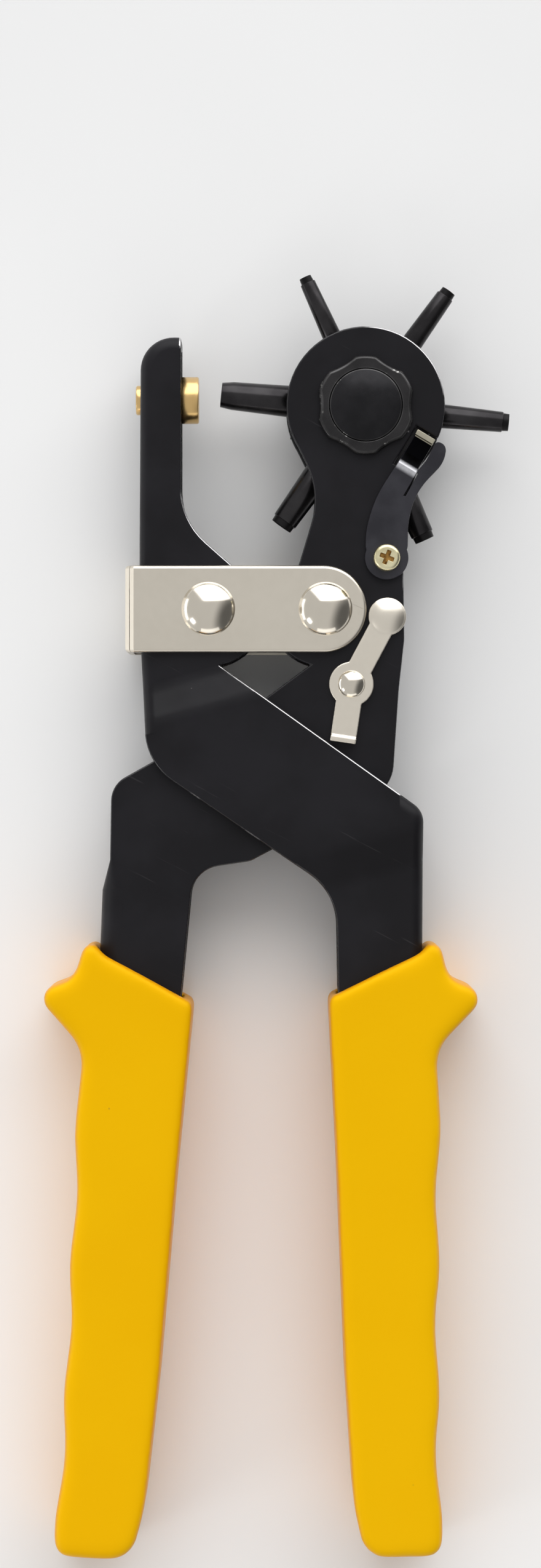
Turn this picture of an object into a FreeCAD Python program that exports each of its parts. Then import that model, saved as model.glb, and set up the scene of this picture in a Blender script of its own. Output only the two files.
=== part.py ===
"""Revolving hole punch pliers: two pressed levers on a bent link, a wheel of six tubes and a brass anvil.

Millimetres. While the model is made, X runs to the right jaw, Y from the handles to the jaws and Z out
of the front face, from the point midway between the two link pivots. The finished pieces are moved so
that the origin is under the middle of the tool as it lies on its back.
"""

import FreeCAD
import Part
import math
import os

os.makedirs("parts", exist_ok=True)

# Pressed levers
PLATE_LENGTH = 200.0
SHEET = 2.0
CHANNEL_HALF = 5.2
LEVER_GAP = 0.3
STEP_BEND = 8.0
CHANNEL_BEND = 2.5
HANDLE_BEND = 4.3
HANDLE_BEND_START = 0.6
STEP_ANGLE = 15.5

# Link and its two pivots
LINK_SHEET = 1.6
LINK_GAP = 0.15
LINK_SIDE_GAP = 1.1
LINK_BEND = 1.7
RIVET_RADIUS = 3.0
RIVET_DOME_RADIUS = 5.34
RIVET_DOME_HEIGHT = 2.55
BUSH_RADIUS = 4.9
RUNNING_GAP = 0.06
SEAT_GAP = 0.02
END_PLAY = 0.1

# Knuckle teeth that keep the two levers in step
KNUCKLE_GAP = 0.2
TOOTH_WIDTH = 2.4
TOOTH_TIP_WIDTH = 1.3
TOOTH_HEIGHT = 1.5
TOOTH_PLAY = 0.3

# Opening spring round the left pivot
SPRING_WIRE = 1.2
SPRING_PITCH = 1.75
SPRING_TURNS = 4
SPRING_ENTRY = 60
SPRING_SIDE_GAP = 0.2

# Anvil
ANVIL_RADIUS = 4.7
ANVIL_THICKNESS = 3.6
ANVIL_CHAMFER = 0.3
ANVIL_BODY_RADIUS = 3.6
ANVIL_NECK_RADIUS = 2.0
ANVIL_TAIL_RADIUS = 2.95
ANVIL_TAIL_THICKNESS = 1.0

# Punch wheel
JAW_GAP = 4.35
WHEEL_RADIUS = 14.0
HEAD_MARGIN = 1.8
WHEEL_HALF_WIDTH = 4.6
WHEEL_CHAMFER = 0.5
FIRST_TUBE_ANGLE = 174.5
SMALLEST_HOLE = 2.0
LARGEST_HOLE = 4.5
TUBE_EDGE_WALL = 0.22
TUBE_BODY_WALL = 0.55
TUBE_ROOT_WALL = 0.95
TUBE_BEVEL = 2.1
TUBE_RING_LENGTH = 1.2
TUBE_RING_TAPER = 0.08
TUBE_SHANK_DEPTH = 5.5
TUBE_FLOOR = 6.48
TUBE_COUNT = 6
DIMPLE_RADIUS = 1.6
DIMPLE_DEPTH = 0.8

# Wheel axle and its washers
AXLE_RADIUS = 4.0
WASHER_RADIUS = 9.85
WASHER_HOLLOW = 0.75
LOBE_COUNT = 6
WASHER_THICKNESS = 1.7
WASHER_CHAMFER = 0.45
CAP_RADIUS = 7.2
CAP_RIM = 0.6
CAP_DOME_HEIGHT = 1.2
THRUST_RADIUS = 7.5
THRUST_THICKNESS = 0.5

# Index spring with its screw
INDEX_SHEET = 1.0
INDEX_LIFT_GAP = 0.35
INDEX_HOLE_PLAY = 0.35
TONGUE_ANGLE = 59.0
TONGUE_LIP = 1.1
TONGUE_TIP_GAP = 0.3
WINDOW_MARGIN = 0.6
SCREW_RADIUS = 1.5
SCREW_HEAD_RADIUS = 2.68
SCREW_HEAD_HEIGHT = 1.9
SCREW_RECESS_WIDTH = 0.85
SCREW_RECESS_LENGTH = 2.9
SCREW_RECESS_DEPTH = 0.9
SCREW_HEAD_ROUND = 0.8

# Latch
LATCH_SHEET = 1.2
LATCH_EYE_RADIUS = 4.45
LATCH_ARM_WIDTH = 5.2
LATCH_ARM_TILT = 8.5
LATCH_NECK_WIDTH = 5.0
LATCH_THUMB_RADIUS = 3.78
LATCH_THUMB_GAP = 0.4
LATCH_THUMB_DROP = 1.5
LATCH_THUMB_DOME = 1.0
LATCH_THUMB_RIM = 0.3
LATCH_EDGE_GAP = 0.15
LATCH_LIP = 1.0
LATCH_RIVET_RADIUS = 1.6
LATCH_RIVET_HEAD_RADIUS = 2.7
LATCH_RIVET_HEAD_HEIGHT = 1.3
LATCH_RIVET_TAIL_RADIUS = 2.5
LATCH_RIVET_TAIL = 0.7

# Grips
GRIP_LENGTH = 122.0
GRIP_ROUNDING = 1.4
GRIP_POCKET_GAP = 0.1
LEFT_GRIP_TURN = 2.66

# How far cutting blocks run past what they cut
OVERRUN = 30.0
FINE = 0.01

# Whole and quarter turns, and the points at which the gap between the spring's turns is measured
FULL_TURN = 360
QUARTER_TURN = 90
GAP_SAMPLES = 100

# Plan sizes of the link, as shares of the plate length
PIVOT_SPACING_SHARE = 0.1165
LINK_HALF_HEIGHT_SHARE = 0.0433
LINK_RIGHT_REACH_SHARE = 0.04115
PIVOT_SPACING = PIVOT_SPACING_SHARE * PLATE_LENGTH
LINK_HALF_HEIGHT = LINK_HALF_HEIGHT_SHARE * PLATE_LENGTH
LINK_RIGHT_REACH = LINK_RIGHT_REACH_SHARE * PLATE_LENGTH

# Plan sizes of the index spring, as shares of the plate length
INDEX_BASE_RADIUS_SHARE = 0.02165
TONGUE_WIDTH_SHARE = 0.0205
TONGUE_LENGTH_SHARE = 0.038
TONGUE_RAMP_SHARE = 0.011
TONGUE_NIB_SHARE = 0.011
TONGUE_WIDTH = TONGUE_WIDTH_SHARE * PLATE_LENGTH
TONGUE_LENGTH = TONGUE_LENGTH_SHARE * PLATE_LENGTH
TONGUE_RAMP = TONGUE_RAMP_SHARE * PLATE_LENGTH
TONGUE_NIB_LENGTH = TONGUE_NIB_SHARE * PLATE_LENGTH

# Heights that follow from the sheet and the gaps
LOW_IN = CHANNEL_HALF
LOW_OUT = LOW_IN + SHEET
STEP_RISE = SHEET + LEVER_GAP
LINK_IN = LOW_OUT + LINK_GAP
LINK_OUT = LINK_IN + LINK_SHEET
GRIP_HALF_DEPTH = LINK_OUT + RIVET_DOME_HEIGHT
BLOCK_HALF = GRIP_HALF_DEPTH + OVERRUN
FAR = PLATE_LENGTH + OVERRUN

PIVOT_LEFT = FreeCAD.Vector(-PIVOT_SPACING / 2, 0, 0)
PIVOT_RIGHT = FreeCAD.Vector(PIVOT_SPACING / 2, 0, 0)
KNUCKLE_RADIUS = PIVOT_SPACING / 2 - KNUCKLE_GAP
X_WAY = FreeCAD.Vector(1, 0, 0)
Y_WAY = FreeCAD.Vector(0, 1, 0)
Z_WAY = FreeCAD.Vector(0, 0, 1)
CENTRE = FreeCAD.Vector(0, 0, 0)

# Where the crossing plate leaves and rejoins the low plane, as shares of the plate length along its slope
STEP_SHARES = (0.047, 0.078, 0.249, 0.284)

# How much of each step round the washer's rim is lobe
LOBE_WIDTH_SHARE = 0.42

# Angles at which each knuckle arc meets the rest of its plate
LEFT_KNUCKLE_FROM, LEFT_KNUCKLE_TO = -78.5, 16.0
RIGHT_KNUCKLE_FROM, RIGHT_KNUCKLE_TO = 155.0, 255.0

# Outlines as shares of the plate length: across, along, corner radius
JAW_TOP_SHARES = ((-0.0855, 0.2715, 0), (-0.1260, 0.2725, 0.033))
ANVIL_LEVER_LEFT_SHARES = (
    (-0.1275, -0.0100, 0.100),
    (-0.1195, -0.1535, 0.062),
    (0.0695, -0.2825, 0.065),
    (0.0710, -0.3775, 0),
    (0.0975, -0.7275, 0.015),
    (0.1450, -0.7275, 0.015),
    (0.1550, -0.3800, 0),
    (0.1560, -0.2010, 0.0215),
)
JAW_THROAT_SHARES = ((-0.0855, 0.0885, 0.073),)
WHEEL_LEVER_NECK_SHARES = ((0.02425, 0.1755, 0), (0.0535, 0.1160, 0.0815), (0.0290, 0.0350, 0.010))
WHEEL_LEVER_SHARES = (
    (-0.0025, -0.0895, 0.150),
    (-0.1550, -0.1750, 0.027),
    (-0.15625, -0.2500, 0),
    (-0.1645, -0.2800, 0),
    (-0.1825, -0.7275, 0.015),
    (-0.1275, -0.7275, 0.015),
    (-0.0850, -0.3800, 0),
    (-0.0735, -0.2595, 0.0325),
    (-0.0165, -0.2510, 0.020),
    (0.1250, -0.1760, 0.035),
    (0.1315, -0.0800, 0.100),
    (0.1370, -0.0300, 0.050),
    (0.1350, 0.1000, 0.100),
    (0.15435, 0.1469, 0),
)
HUB_SHARES = (0.0985, 0.20275)
ANVIL_HEIGHT_SHARE = 0.211
JAW_WEB_END_SHARE = -0.125
SHOULDER_WEB_SHARES = (0.132, -0.175)
HANDLE_WEB_SHARE = -0.130
WEB_END_SHARE = -0.700

# Index spring: the screw, the left edge, the slit and the finger beside it, as shares of the plate length
INDEX_SCREW_SHARES = (0.1192, 0.0508)
INDEX_LEFT_EDGE_SHARES = (
    (0.0980, 0.0530, 0.010),
    (0.0985, 0.0790, 0.080),
    (0.1080, 0.1110, 0.120),
    (0.1235, 0.1350, 0.060),
)
INDEX_FINGER_SHARES = (
    (0.1585, 0.1470, 0.050),
    (0.1685, 0.1665, 0.004),
    (0.1790, 0.1635, 0.008),
    (0.1765, 0.1455, 0.030),
    (0.1470, 0.1150, 0.070),
    (0.1405, 0.0840, 0.080),
    (0.1400, 0.0530, 0.010),
)
TONGUE_START_SHARES = (0.1395, 0.1408)
SLIT_END_SHARES = (0.1370, 0.1120)
SLIT_WIDTH_SHARE = 0.0016

# Latch pivot as shares of the plate length
LATCH_PIVOT_SHARES = (0.08415, -0.0747)

# Grip outline as shares of its length: across, along, corner radius
GRIP_SHARES = (
    (-0.088, -0.010, 0.013),
    (-0.074, -0.289, 2.000),
    (-0.061, -0.623, 0.900),
    (-0.047, -0.836, 0.330),
    (-0.028, -0.921, 0.045),
    (0.098, -0.920, 0.026),
    (0.098, -0.857, 0.240),
    (0.084, -0.750, 0.360),
    (0.095, -0.663, 0.360),
    (0.084, -0.537, 0.360),
    (0.095, -0.449, 0.360),
    (0.085, -0.332, 0.360),
    (0.096, -0.228, 0.360),
    (0.087, -0.094, 0.070),
    (0.161, -0.018, 0.018),
    (0.149, 0.008, 0.025),
    (0.108, 0.016, 0.040),
    (0.095, 0.077, 0.016),
    (0.072, 0.079, 0.012),
    (0.066, 0.065, 0.012),
    (-0.070, -0.002, 0.015),
)
RIGHT_GRIP_PLACE_SHARES = (0.1150, -0.3800)
LEFT_GRIP_PLACE_SHARES = (-0.1265, -0.3830)

parts = {}


def spot(x, y, z=0):
    return FreeCAD.Vector(x, y, z)


def placed(shares, size=PLATE_LENGTH):
    """Points and corner radii in millimetres, from shares of one size."""
    return [tuple(value * size for value in row) for row in shares]


def polar(centre, radius, degrees):
    turn = math.radians(degrees)
    return centre + spot(radius * math.cos(turn), radius * math.sin(turn))


def rounded_wire(corners, flat=True):
    """A closed wire through corners (x, y, radius), each rounded by an arc tangent to its two sides."""
    ends = []
    count = len(corners)
    for i, (x, y, radius) in enumerate(corners):
        here = spot(x, y)
        before = spot(*corners[i - 1][:2]) - here
        after = spot(*corners[(i + 1) % count][:2]) - here
        before.normalize()
        after.normalize()
        half = before.getAngle(after) / 2
        if radius <= 0 or half > math.pi / 2 - FINE:
            ends.append((here, None, here))
            continue
        side = radius / math.tan(half)
        inward = before + after
        inward.normalize()
        middle = here + inward * (radius / math.sin(half) - radius)
        ends.append((here + before * side, middle, here + after * side))
    edges = []
    for i, (start, middle, stop) in enumerate(ends):
        last = ends[i - 1][2]
        if last.distanceToPoint(start) > FINE / 10:
            edges.append(Part.LineSegment(last, start).toShape())
        if middle is not None:
            edges.append(Part.Arc(start, middle, stop).toShape())
    wire = Part.Wire(edges)
    if not flat:
        wire.Placement = upright_placement()
    return wire


def slab(corners, low, high):
    """A rounded outline in the XY plane made solid from one height to another."""
    face = Part.Face(rounded_wire(corners))
    face.translate(Z_WAY * low)
    return face.extrude(Z_WAY * (high - low))


def box(x0, x1, y0, y1, z0, z1):
    return Part.makeBox(x1 - x0, y1 - y0, z1 - z0, spot(x0, y0, z0))


def rod(radius, low, high, centre):
    return Part.makeCylinder(radius, high - low, spot(centre.x, centre.y, low), Z_WAY)


def tube_along(radius, start, way, length):
    return Part.makeCylinder(radius, length, start, way)


def mirrored(shape):
    """The same shape on the other side of the middle plane."""
    return shape.mirror(CENTRE, Z_WAY)


def both_sides(shape):
    return shape, mirrored(shape)


def joined(first, *others):
    return first.multiFuse(list(others)).removeSplitter()


def dome(radius, height, base, centre):
    """A spherical cap that stands on a plane at the given height."""
    ball_radius = (radius * radius + height * height) / (2 * height)
    ball = Part.makeSphere(ball_radius, spot(centre.x, centre.y, base + height - ball_radius))
    return ball.common(rod(radius, base, base + height, centre))


def upright_placement():
    """Turns a section drawn in XY so that its X runs down a lever's steps and its Y runs out of the face."""
    tilt = math.radians(STEP_ANGLE)
    down = spot(math.sin(tilt), -math.cos(tilt))
    matrix = FreeCAD.Matrix()
    along = down.cross(Z_WAY)
    for column, way in enumerate((down, Z_WAY, along)):
        for row, value in enumerate(way):
            setattr(matrix, "A%d%d" % (row + 1, column + 1), value)
    return FreeCAD.Placement(matrix)


def step_line(height, rise):
    """The stepped line of one face of the sheet: low, up the first step, across, and down the second."""
    first, top, back, last = (share * PLATE_LENGTH for share in STEP_SHARES)
    return [
        (-FAR, height, 0),
        (first, height, STEP_BEND),
        (top, height + rise, STEP_BEND),
        (back, height + rise, STEP_BEND),
        (last, height, STEP_BEND),
        (FAR, height, 0),
    ]


def stepped_block(low_line, high_line):
    """The space between two stepped lines, as wide as the tool."""
    section = rounded_wire(low_line + high_line[::-1], flat=False)
    along = section.Placement.multVec(Z_WAY)
    face = Part.Face(section)
    face.translate(along * -FAR)
    return face.extrude(along * (2 * FAR))


def envelope(half_height, rise):
    """The space within a stepped height on both sides of the middle plane."""
    top = step_line(half_height, rise)
    bottom = [(x, -y, radius) for x, y, radius in top]
    return stepped_block(bottom, top)


def wall_band(outline):
    """The ring one sheet thick just inside an outline."""
    face = Part.Face(rounded_wire(outline))
    inner = face.makeOffset2D(-SHEET)
    ring = face.cut(inner)
    ring.translate(Z_WAY * -BLOCK_HALF)
    return ring.extrude(Z_WAY * (2 * BLOCK_HALF))


def bend_edges(piece, outline, left_of=FAR):
    """Edges of a block's two outer faces that lie on its outline, left of a place."""
    wire = rounded_wire(outline)
    found = []
    for edge in piece.Edges:
        middle = edge.valueAt((edge.FirstParameter + edge.LastParameter) / 2)
        on_outline = Part.Vertex(middle.x, middle.y, 0).distToShape(wire)[0] < FINE
        if on_outline and abs(middle.z) > LOW_OUT - FINE and middle.x < left_of - FINE:
            found.append(edge)
    return found


def knuckle(pivot, start, stop):
    """The sector of a lever's plate that rolls on the other lever."""
    middle = (start + stop) / 2
    wedge = [pivot, polar(pivot, 2 * KNUCKLE_RADIUS, start), polar(pivot, 3 * KNUCKLE_RADIUS, middle),
             polar(pivot, 2 * KNUCKLE_RADIUS, stop)]
    sector = slab([(point.x, point.y, 0) for point in wedge], -BLOCK_HALF, BLOCK_HALF)
    return sector.common(rod(KNUCKLE_RADIUS, -BLOCK_HALF, BLOCK_HALF, pivot))


def tooth(pivot, degrees, spread):
    """A tapered tooth on the rolling circle, widened by a spread to cut its socket."""
    root = polar(pivot, KNUCKLE_RADIUS - TOOTH_HEIGHT, degrees)
    height = TOOTH_HEIGHT + KNUCKLE_GAP + TOOTH_HEIGHT + spread
    wide, narrow = TOOTH_WIDTH / 2 + spread, TOOTH_TIP_WIDTH / 2 + spread
    shape = slab([(0, -wide, 0), (height, -narrow, 0), (height, narrow, 0), (0, wide, 0)],
                 -BLOCK_HALF, BLOCK_HALF)
    shape.rotate(CENTRE, Z_WAY, degrees)
    shape.translate(root)
    return shape


def knuckle_point(pivot, degrees):
    point = polar(pivot, KNUCKLE_RADIUS, degrees)
    return point.x, point.y, 0


def anvil_lever_outline():
    return (
        placed(JAW_TOP_SHARES) + placed(ANVIL_LEVER_LEFT_SHARES)
        + [knuckle_point(PIVOT_LEFT, LEFT_KNUCKLE_FROM), knuckle_point(PIVOT_LEFT, LEFT_KNUCKLE_TO)]
        + placed(JAW_THROAT_SHARES)
    )


def wheel_lever_outline():
    hub = hub_centre()
    return (
        placed(WHEEL_LEVER_NECK_SHARES)
        + [knuckle_point(PIVOT_RIGHT, RIGHT_KNUCKLE_FROM), knuckle_point(PIVOT_RIGHT, RIGHT_KNUCKLE_TO)]
        + placed(WHEEL_LEVER_SHARES) + [(hub.x, hub.y, 0)]
    )


def hub_centre():
    return spot(*placed((HUB_SHARES,))[0])


def jaw_edges():
    """The left face and the open right face of the anvil jaw."""
    right, left = (row[0] for row in placed(JAW_TOP_SHARES))
    return left, right


def make_anvil_lever():
    """The lever that carries the anvil: a channel jaw, a crossing plate on each side and the right handle."""
    outline = anvil_lever_outline()
    plan = slab(outline, -BLOCK_HALF, BLOCK_HALF)
    block = plan.common(envelope(LOW_OUT, STEP_RISE))
    left, right = jaw_edges()
    jaw_top = JAW_TOP_SHARES[0][1] * PLATE_LENGTH
    jaw_end = JAW_WEB_END_SHARE * PLATE_LENGTH
    shoulder_x, shoulder_y = placed((SHOULDER_WEB_SHARES,))[0]
    web_end = WEB_END_SHARE * PLATE_LENGTH
    jaw_zone = box(left - OVERRUN, right + OVERRUN, jaw_end, jaw_top + OVERRUN, -BLOCK_HALF, BLOCK_HALF)
    shoulder_zone = box(shoulder_x, FAR, web_end, shoulder_y, -BLOCK_HALF, BLOCK_HALF)

    jaw = block.common(jaw_zone)
    jaw = jaw.makeFillet(CHANNEL_BEND, bend_edges(jaw, outline, right))
    shoulder = block.common(shoulder_zone)
    shoulder = shoulder.makeFillet(CHANNEL_BEND, bend_edges(shoulder, outline))
    middle = block.cut(jaw_zone).cut(shoulder_zone)
    block = jaw.multiFuse([middle, shoulder])

    web_zone = box(left - OVERRUN, right - SHEET, jaw_end, jaw_top + OVERRUN, -BLOCK_HALF, BLOCK_HALF)
    top_zone = box(left - OVERRUN, right, jaw_top - SHEET, jaw_top + OVERRUN, -BLOCK_HALF, BLOCK_HALF)
    web = wall_band(outline).common(web_zone.multiFuse([top_zone, shoulder_zone]))
    hollow = envelope(LOW_IN, STEP_RISE).common(plan_cover()).cut(web)
    lever = block.cut(hollow)
    low_part = envelope(LOW_OUT, 0).cut(envelope(LOW_IN, 0))
    rolling = knuckle(PIVOT_LEFT, LEFT_KNUCKLE_FROM, LEFT_KNUCKLE_TO).fuse(tooth(PIVOT_LEFT, 0, 0))
    lever = joined(lever, rolling.common(low_part))
    lever = lever.cut(rod(RIVET_RADIUS + RUNNING_GAP, -BLOCK_HALF, BLOCK_HALF, PIVOT_LEFT))
    anvil_hole = tube_along(ANVIL_NECK_RADIUS + SEAT_GAP, spot(left - OVERRUN, anvil_height()), X_WAY,
                            OVERRUN + SHEET * 2)
    parts["anvil_lever"] = lever.cut(anvil_hole)


def plan_cover():
    """A block that covers the whole plan of the tool."""
    return box(-FAR, FAR, -FAR, FAR, -BLOCK_HALF, BLOCK_HALF)


def anvil_height():
    return ANVIL_HEIGHT_SHARE * PLATE_LENGTH


def anvil_face():
    return jaw_edges()[1] - LINK_GAP + ANVIL_THICKNESS


def jaw_face(height):
    """How far left the jaw's web reaches at one height."""
    top_x, top_y, _ = placed(JAW_TOP_SHARES)[1]
    low_x, low_y, _ = placed(ANVIL_LEVER_LEFT_SHARES)[0]
    return top_x + (low_x - top_x) * (top_y - height) / (top_y - low_y)


def make_anvil():
    """The brass anvil: a disc on the jaw's open side, a body across the channel and a riveted tail."""
    face = anvil_face()
    height = anvil_height()
    seat = face - ANVIL_THICKNESS
    left = jaw_face(height - ANVIL_TAIL_RADIUS)
    web_inside = jaw_face(height + ANVIL_BODY_RADIUS) + SHEET + SEAT_GAP
    pad = tube_along(ANVIL_RADIUS, spot(seat, height), X_WAY, ANVIL_THICKNESS)
    pad = pad.makeChamfer(ANVIL_CHAMFER, bend_circles(pad))
    body = tube_along(ANVIL_BODY_RADIUS, spot(web_inside, height), X_WAY, seat - web_inside)
    neck = tube_along(ANVIL_NECK_RADIUS, spot(left, height), X_WAY, web_inside - left)
    tail_start = spot(left - ANVIL_TAIL_THICKNESS, height)
    tail = tube_along(ANVIL_TAIL_RADIUS, tail_start, X_WAY, ANVIL_TAIL_THICKNESS)
    parts["anvil"] = joined(pad, body, neck, tail)


def bend_circles(shape):
    """The closed circular edges of a turned piece."""
    return [edge for edge in shape.Edges if len(edge.Vertexes) == 1]


def handle_section(outer_x, inner_x, y, radius):
    """A section across the web side of the left handle, with its two outer corners rounded."""
    corners = [(inner_x, -LOW_OUT, 0), (inner_x, LOW_OUT, 0)]
    corners += [(outer_x, LOW_OUT, radius), (outer_x, -LOW_OUT, radius)]
    section = rounded_wire(corners)
    section.rotate(CENTRE, X_WAY, QUARTER_TURN)
    section.translate(Y_WAY * y)
    return section


def make_wheel_lever():
    """The lever that carries the punch wheel: two flat plates joined by the web of the left handle."""
    outline = wheel_lever_outline()
    hub = hub_centre()
    plan = slab(outline, -BLOCK_HALF, BLOCK_HALF)
    level = envelope(LOW_OUT, 0)
    block = plan.common(level)
    start, turn, end = placed(WHEEL_LEVER_SHARES)[2:5]
    inner_x = HANDLE_WEB_SHARE * PLATE_LENGTH
    web_end = WEB_END_SHARE * PLATE_LENGTH
    end_x = turn[0] + (end[0] - turn[0]) * (turn[1] - web_end) / (turn[1] - end[1])
    web_zone = box(-FAR, inner_x, web_end, start[1], -BLOCK_HALF, BLOCK_HALF)
    side = Part.makeLoft([
        handle_section(start[0], inner_x, start[1], HANDLE_BEND_START),
        handle_section(turn[0], inner_x, turn[1], HANDLE_BEND),
        handle_section(end_x, inner_x, web_end, HANDLE_BEND),
    ], True, True)
    block = block.cut(web_zone).fuse(side)

    head = rod(WHEEL_RADIUS + HEAD_MARGIN, -LOW_OUT, LOW_OUT, hub)
    rolling = knuckle(PIVOT_RIGHT, RIGHT_KNUCKLE_FROM, RIGHT_KNUCKLE_TO).common(level)
    block = block.multiFuse([head, rolling])
    web = wall_band(outline).common(web_zone)
    hollow = envelope(LOW_IN, 0).common(plan_cover()).cut(web)
    lever = block.cut(hollow).removeSplitter()
    lever = lever.cut(tooth(PIVOT_LEFT, 0, TOOTH_PLAY))
    lever = lever.cut(rod(RIVET_RADIUS + RUNNING_GAP, -BLOCK_HALF, BLOCK_HALF, PIVOT_RIGHT))
    lever = lever.cut(rod(AXLE_RADIUS + SEAT_GAP, -BLOCK_HALF, BLOCK_HALF, hub))
    lever = lever.cut(rod(SCREW_RADIUS + SEAT_GAP, 0, BLOCK_HALF, index_screw_centre()))
    lever = lever.cut(rod(LATCH_RIVET_RADIUS + SEAT_GAP, 0, BLOCK_HALF, latch_pivot()))
    parts["wheel_lever"] = lever.cut(index_window())


def make_link():
    """The plated link: two plates joined by a bend at the left, and the holes of its two rivets."""
    jaw_side = placed(ANVIL_LEVER_LEFT_SHARES)[0][0]
    left = jaw_side - LINK_SIDE_GAP - LINK_SHEET
    right = PIVOT_RIGHT.x + LINK_RIGHT_REACH
    high = LINK_HALF_HEIGHT
    plan = [(left, high, 0), (left, -high, 0), (right, -high, high - FINE), (right, high, high - FINE)]
    block = slab(plan, -LINK_OUT, LINK_OUT)
    bends = [edge for edge in block.Edges
             if abs(edge.CenterOfMass.x - left) < FINE and abs(abs(edge.CenterOfMass.z) - LINK_OUT) < FINE]
    block = block.makeFillet(LINK_BEND, bends)
    link = block.cut(box(left + LINK_SHEET, FAR, -FAR, FAR, -LINK_IN, LINK_IN))
    for pivot in (PIVOT_LEFT, PIVOT_RIGHT):
        link = link.cut(rod(RIVET_RADIUS + SEAT_GAP, -BLOCK_HALF, BLOCK_HALF, pivot))
    parts["link_plate"] = link


def make_link_rivets():
    """A rivet with a dome at each end, and the bush that keeps the plates apart, at each pivot."""
    for name, pivot in (("left", PIVOT_LEFT), ("right", PIVOT_RIGHT)):
        shaft = rod(RIVET_RADIUS, -LINK_OUT, LINK_OUT, pivot)
        head = dome(RIVET_DOME_RADIUS, RIVET_DOME_HEIGHT, LINK_OUT, pivot)
        parts["link_rivet_" + name] = joined(shaft, *both_sides(head))
        half = CHANNEL_HALF - END_PLAY
        bush = rod(BUSH_RADIUS, -half, half, pivot)
        parts["pivot_bush_" + name] = bush.cut(rod(RIVET_RADIUS + SEAT_GAP, -half, half, pivot))


def arc_between(start, control, stop):
    """The arc that leaves start towards control and reaches stop from it."""
    middle = (start + stop) / 2
    lift = control - middle
    chord = start.distanceToPoint(stop) / 2
    angle = math.atan2(lift.Length, chord)
    return Part.Arc(start, middle + lift * (math.tan(angle / 2) / math.tan(angle)), stop).toShape()


def biarc(start, start_way, stop, stop_way):
    """Two arcs that join two points and keep the direction at each."""
    gap = stop - start
    both = start_way + stop_way
    a = 2 * (start_way.dot(stop_way) - 1)
    b = -2 * gap.dot(both)
    c = gap.dot(gap)
    reach = (-b - math.sqrt(b * b - 4 * a * c)) / (2 * a)
    first, second = start + start_way * reach, stop - stop_way * reach
    joint = (first + second) / 2
    return [arc_between(start, first, joint), arc_between(joint, second, stop)]


def make_opening_spring():
    """The torsion spring round the left bush: one leg on the lever's web, the other on the right bush."""
    radius = BUSH_RADIUS + SPRING_SIDE_GAP + SPRING_WIRE / 2
    swept = FULL_TURN * SPRING_TURNS + SPRING_ENTRY - QUARTER_TURN
    pieces = math.ceil(swept / QUARTER_TURN)
    climb = SPRING_PITCH * swept / FULL_TURN

    def coil(share):
        turn = math.radians(SPRING_ENTRY - swept * share)
        place = PIVOT_LEFT + spot(radius * math.cos(turn), radius * math.sin(turn), climb * (share - 1 / 2))
        slope = climb / math.radians(swept) if 0 < share < 1 else 0
        way = spot(radius * math.sin(turn), -radius * math.cos(turn), slope)
        way.normalize()
        return place, way

    edges = []
    first, first_way = coil(0)
    web_inside = jaw_edges()[0] + SHEET + SPRING_SIDE_GAP * 2
    leg = (first.x - web_inside) / first_way.x - SPRING_WIRE / 2 * abs(first_way.y)
    edges.append(Part.LineSegment(first - first_way * leg, first).toShape())
    for piece in range(pieces):
        edges += biarc(*coil(piece / pieces), *coil((piece + 1) / pieces))
    last, last_way = coil(1)
    edges.append(Part.LineSegment(last, last + last_way * (PIVOT_SPACING + SPRING_WIRE * 2)).toShape())
    path = Part.Wire(edges)
    start = path.Vertexes[0].Point
    section = Part.Wire([Part.makeCircle(SPRING_WIRE / 2, start, first_way)])
    parts["opening_spring"] = path.makePipeShell([section], True, False)
    line = [coil(index / GAP_SAMPLES)[0] for index in range(GAP_SAMPLES + 1)]
    apart = math.ceil(GAP_SAMPLES * (FULL_TURN - QUARTER_TURN) / swept)
    gap = min(a.distanceToPoint(b) for i, a in enumerate(line) for b in line[i + apart:]) - SPRING_WIRE
    swept_volume = path.Length * math.pi * SPRING_WIRE ** 2 / 4
    print("opening spring: least gap between turns %.2f mm" % gap)
    print("volume %.1f mm3, section times length %.1f mm3" % (parts["opening_spring"].Volume, swept_volume))


def tip_reach():
    """From the wheel's centre to the cutting edges, so that the jaw gap is left before the anvil."""
    return hub_centre().x - anvil_face() - JAW_GAP


def make_punch_wheel():
    """The wheel between the plates, bored for six tubes, with a dimple on its face for each stop."""
    hub = hub_centre()
    wheel = rod(WHEEL_RADIUS, -WHEEL_HALF_WIDTH, WHEEL_HALF_WIDTH, hub)
    wheel = wheel.makeChamfer(WHEEL_CHAMFER, bend_circles(wheel))
    wheel = wheel.cut(rod(AXLE_RADIUS + RUNNING_GAP, -BLOCK_HALF, BLOCK_HALF, hub))
    tip = tongue_tip_centre() - hub
    dimple_circle = spot(tip.x, tip.y).Length
    dimple_angle = math.degrees(math.atan2(tip.y, tip.x))
    ball_radius = (DIMPLE_RADIUS ** 2 + DIMPLE_DEPTH ** 2) / (2 * DIMPLE_DEPTH)
    for index in range(TUBE_COUNT):
        step = FULL_TURN / TUBE_COUNT * index
        way = polar(CENTRE, 1, FIRST_TUBE_ANGLE - step)
        shank = tube_radii(index)[0] - TUBE_BODY_WALL + SEAT_GAP
        start = hub + way * (WHEEL_RADIUS - TUBE_SHANK_DEPTH)
        wheel = wheel.cut(tube_along(shank, start, way, TUBE_SHANK_DEPTH + OVERRUN))
        centre = polar(hub, dimple_circle, dimple_angle + step)
        height = WHEEL_HALF_WIDTH + ball_radius - DIMPLE_DEPTH
        wheel = wheel.cut(Part.makeSphere(ball_radius, spot(centre.x, centre.y, height)))
    parts["punch_wheel"] = wheel


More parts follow.
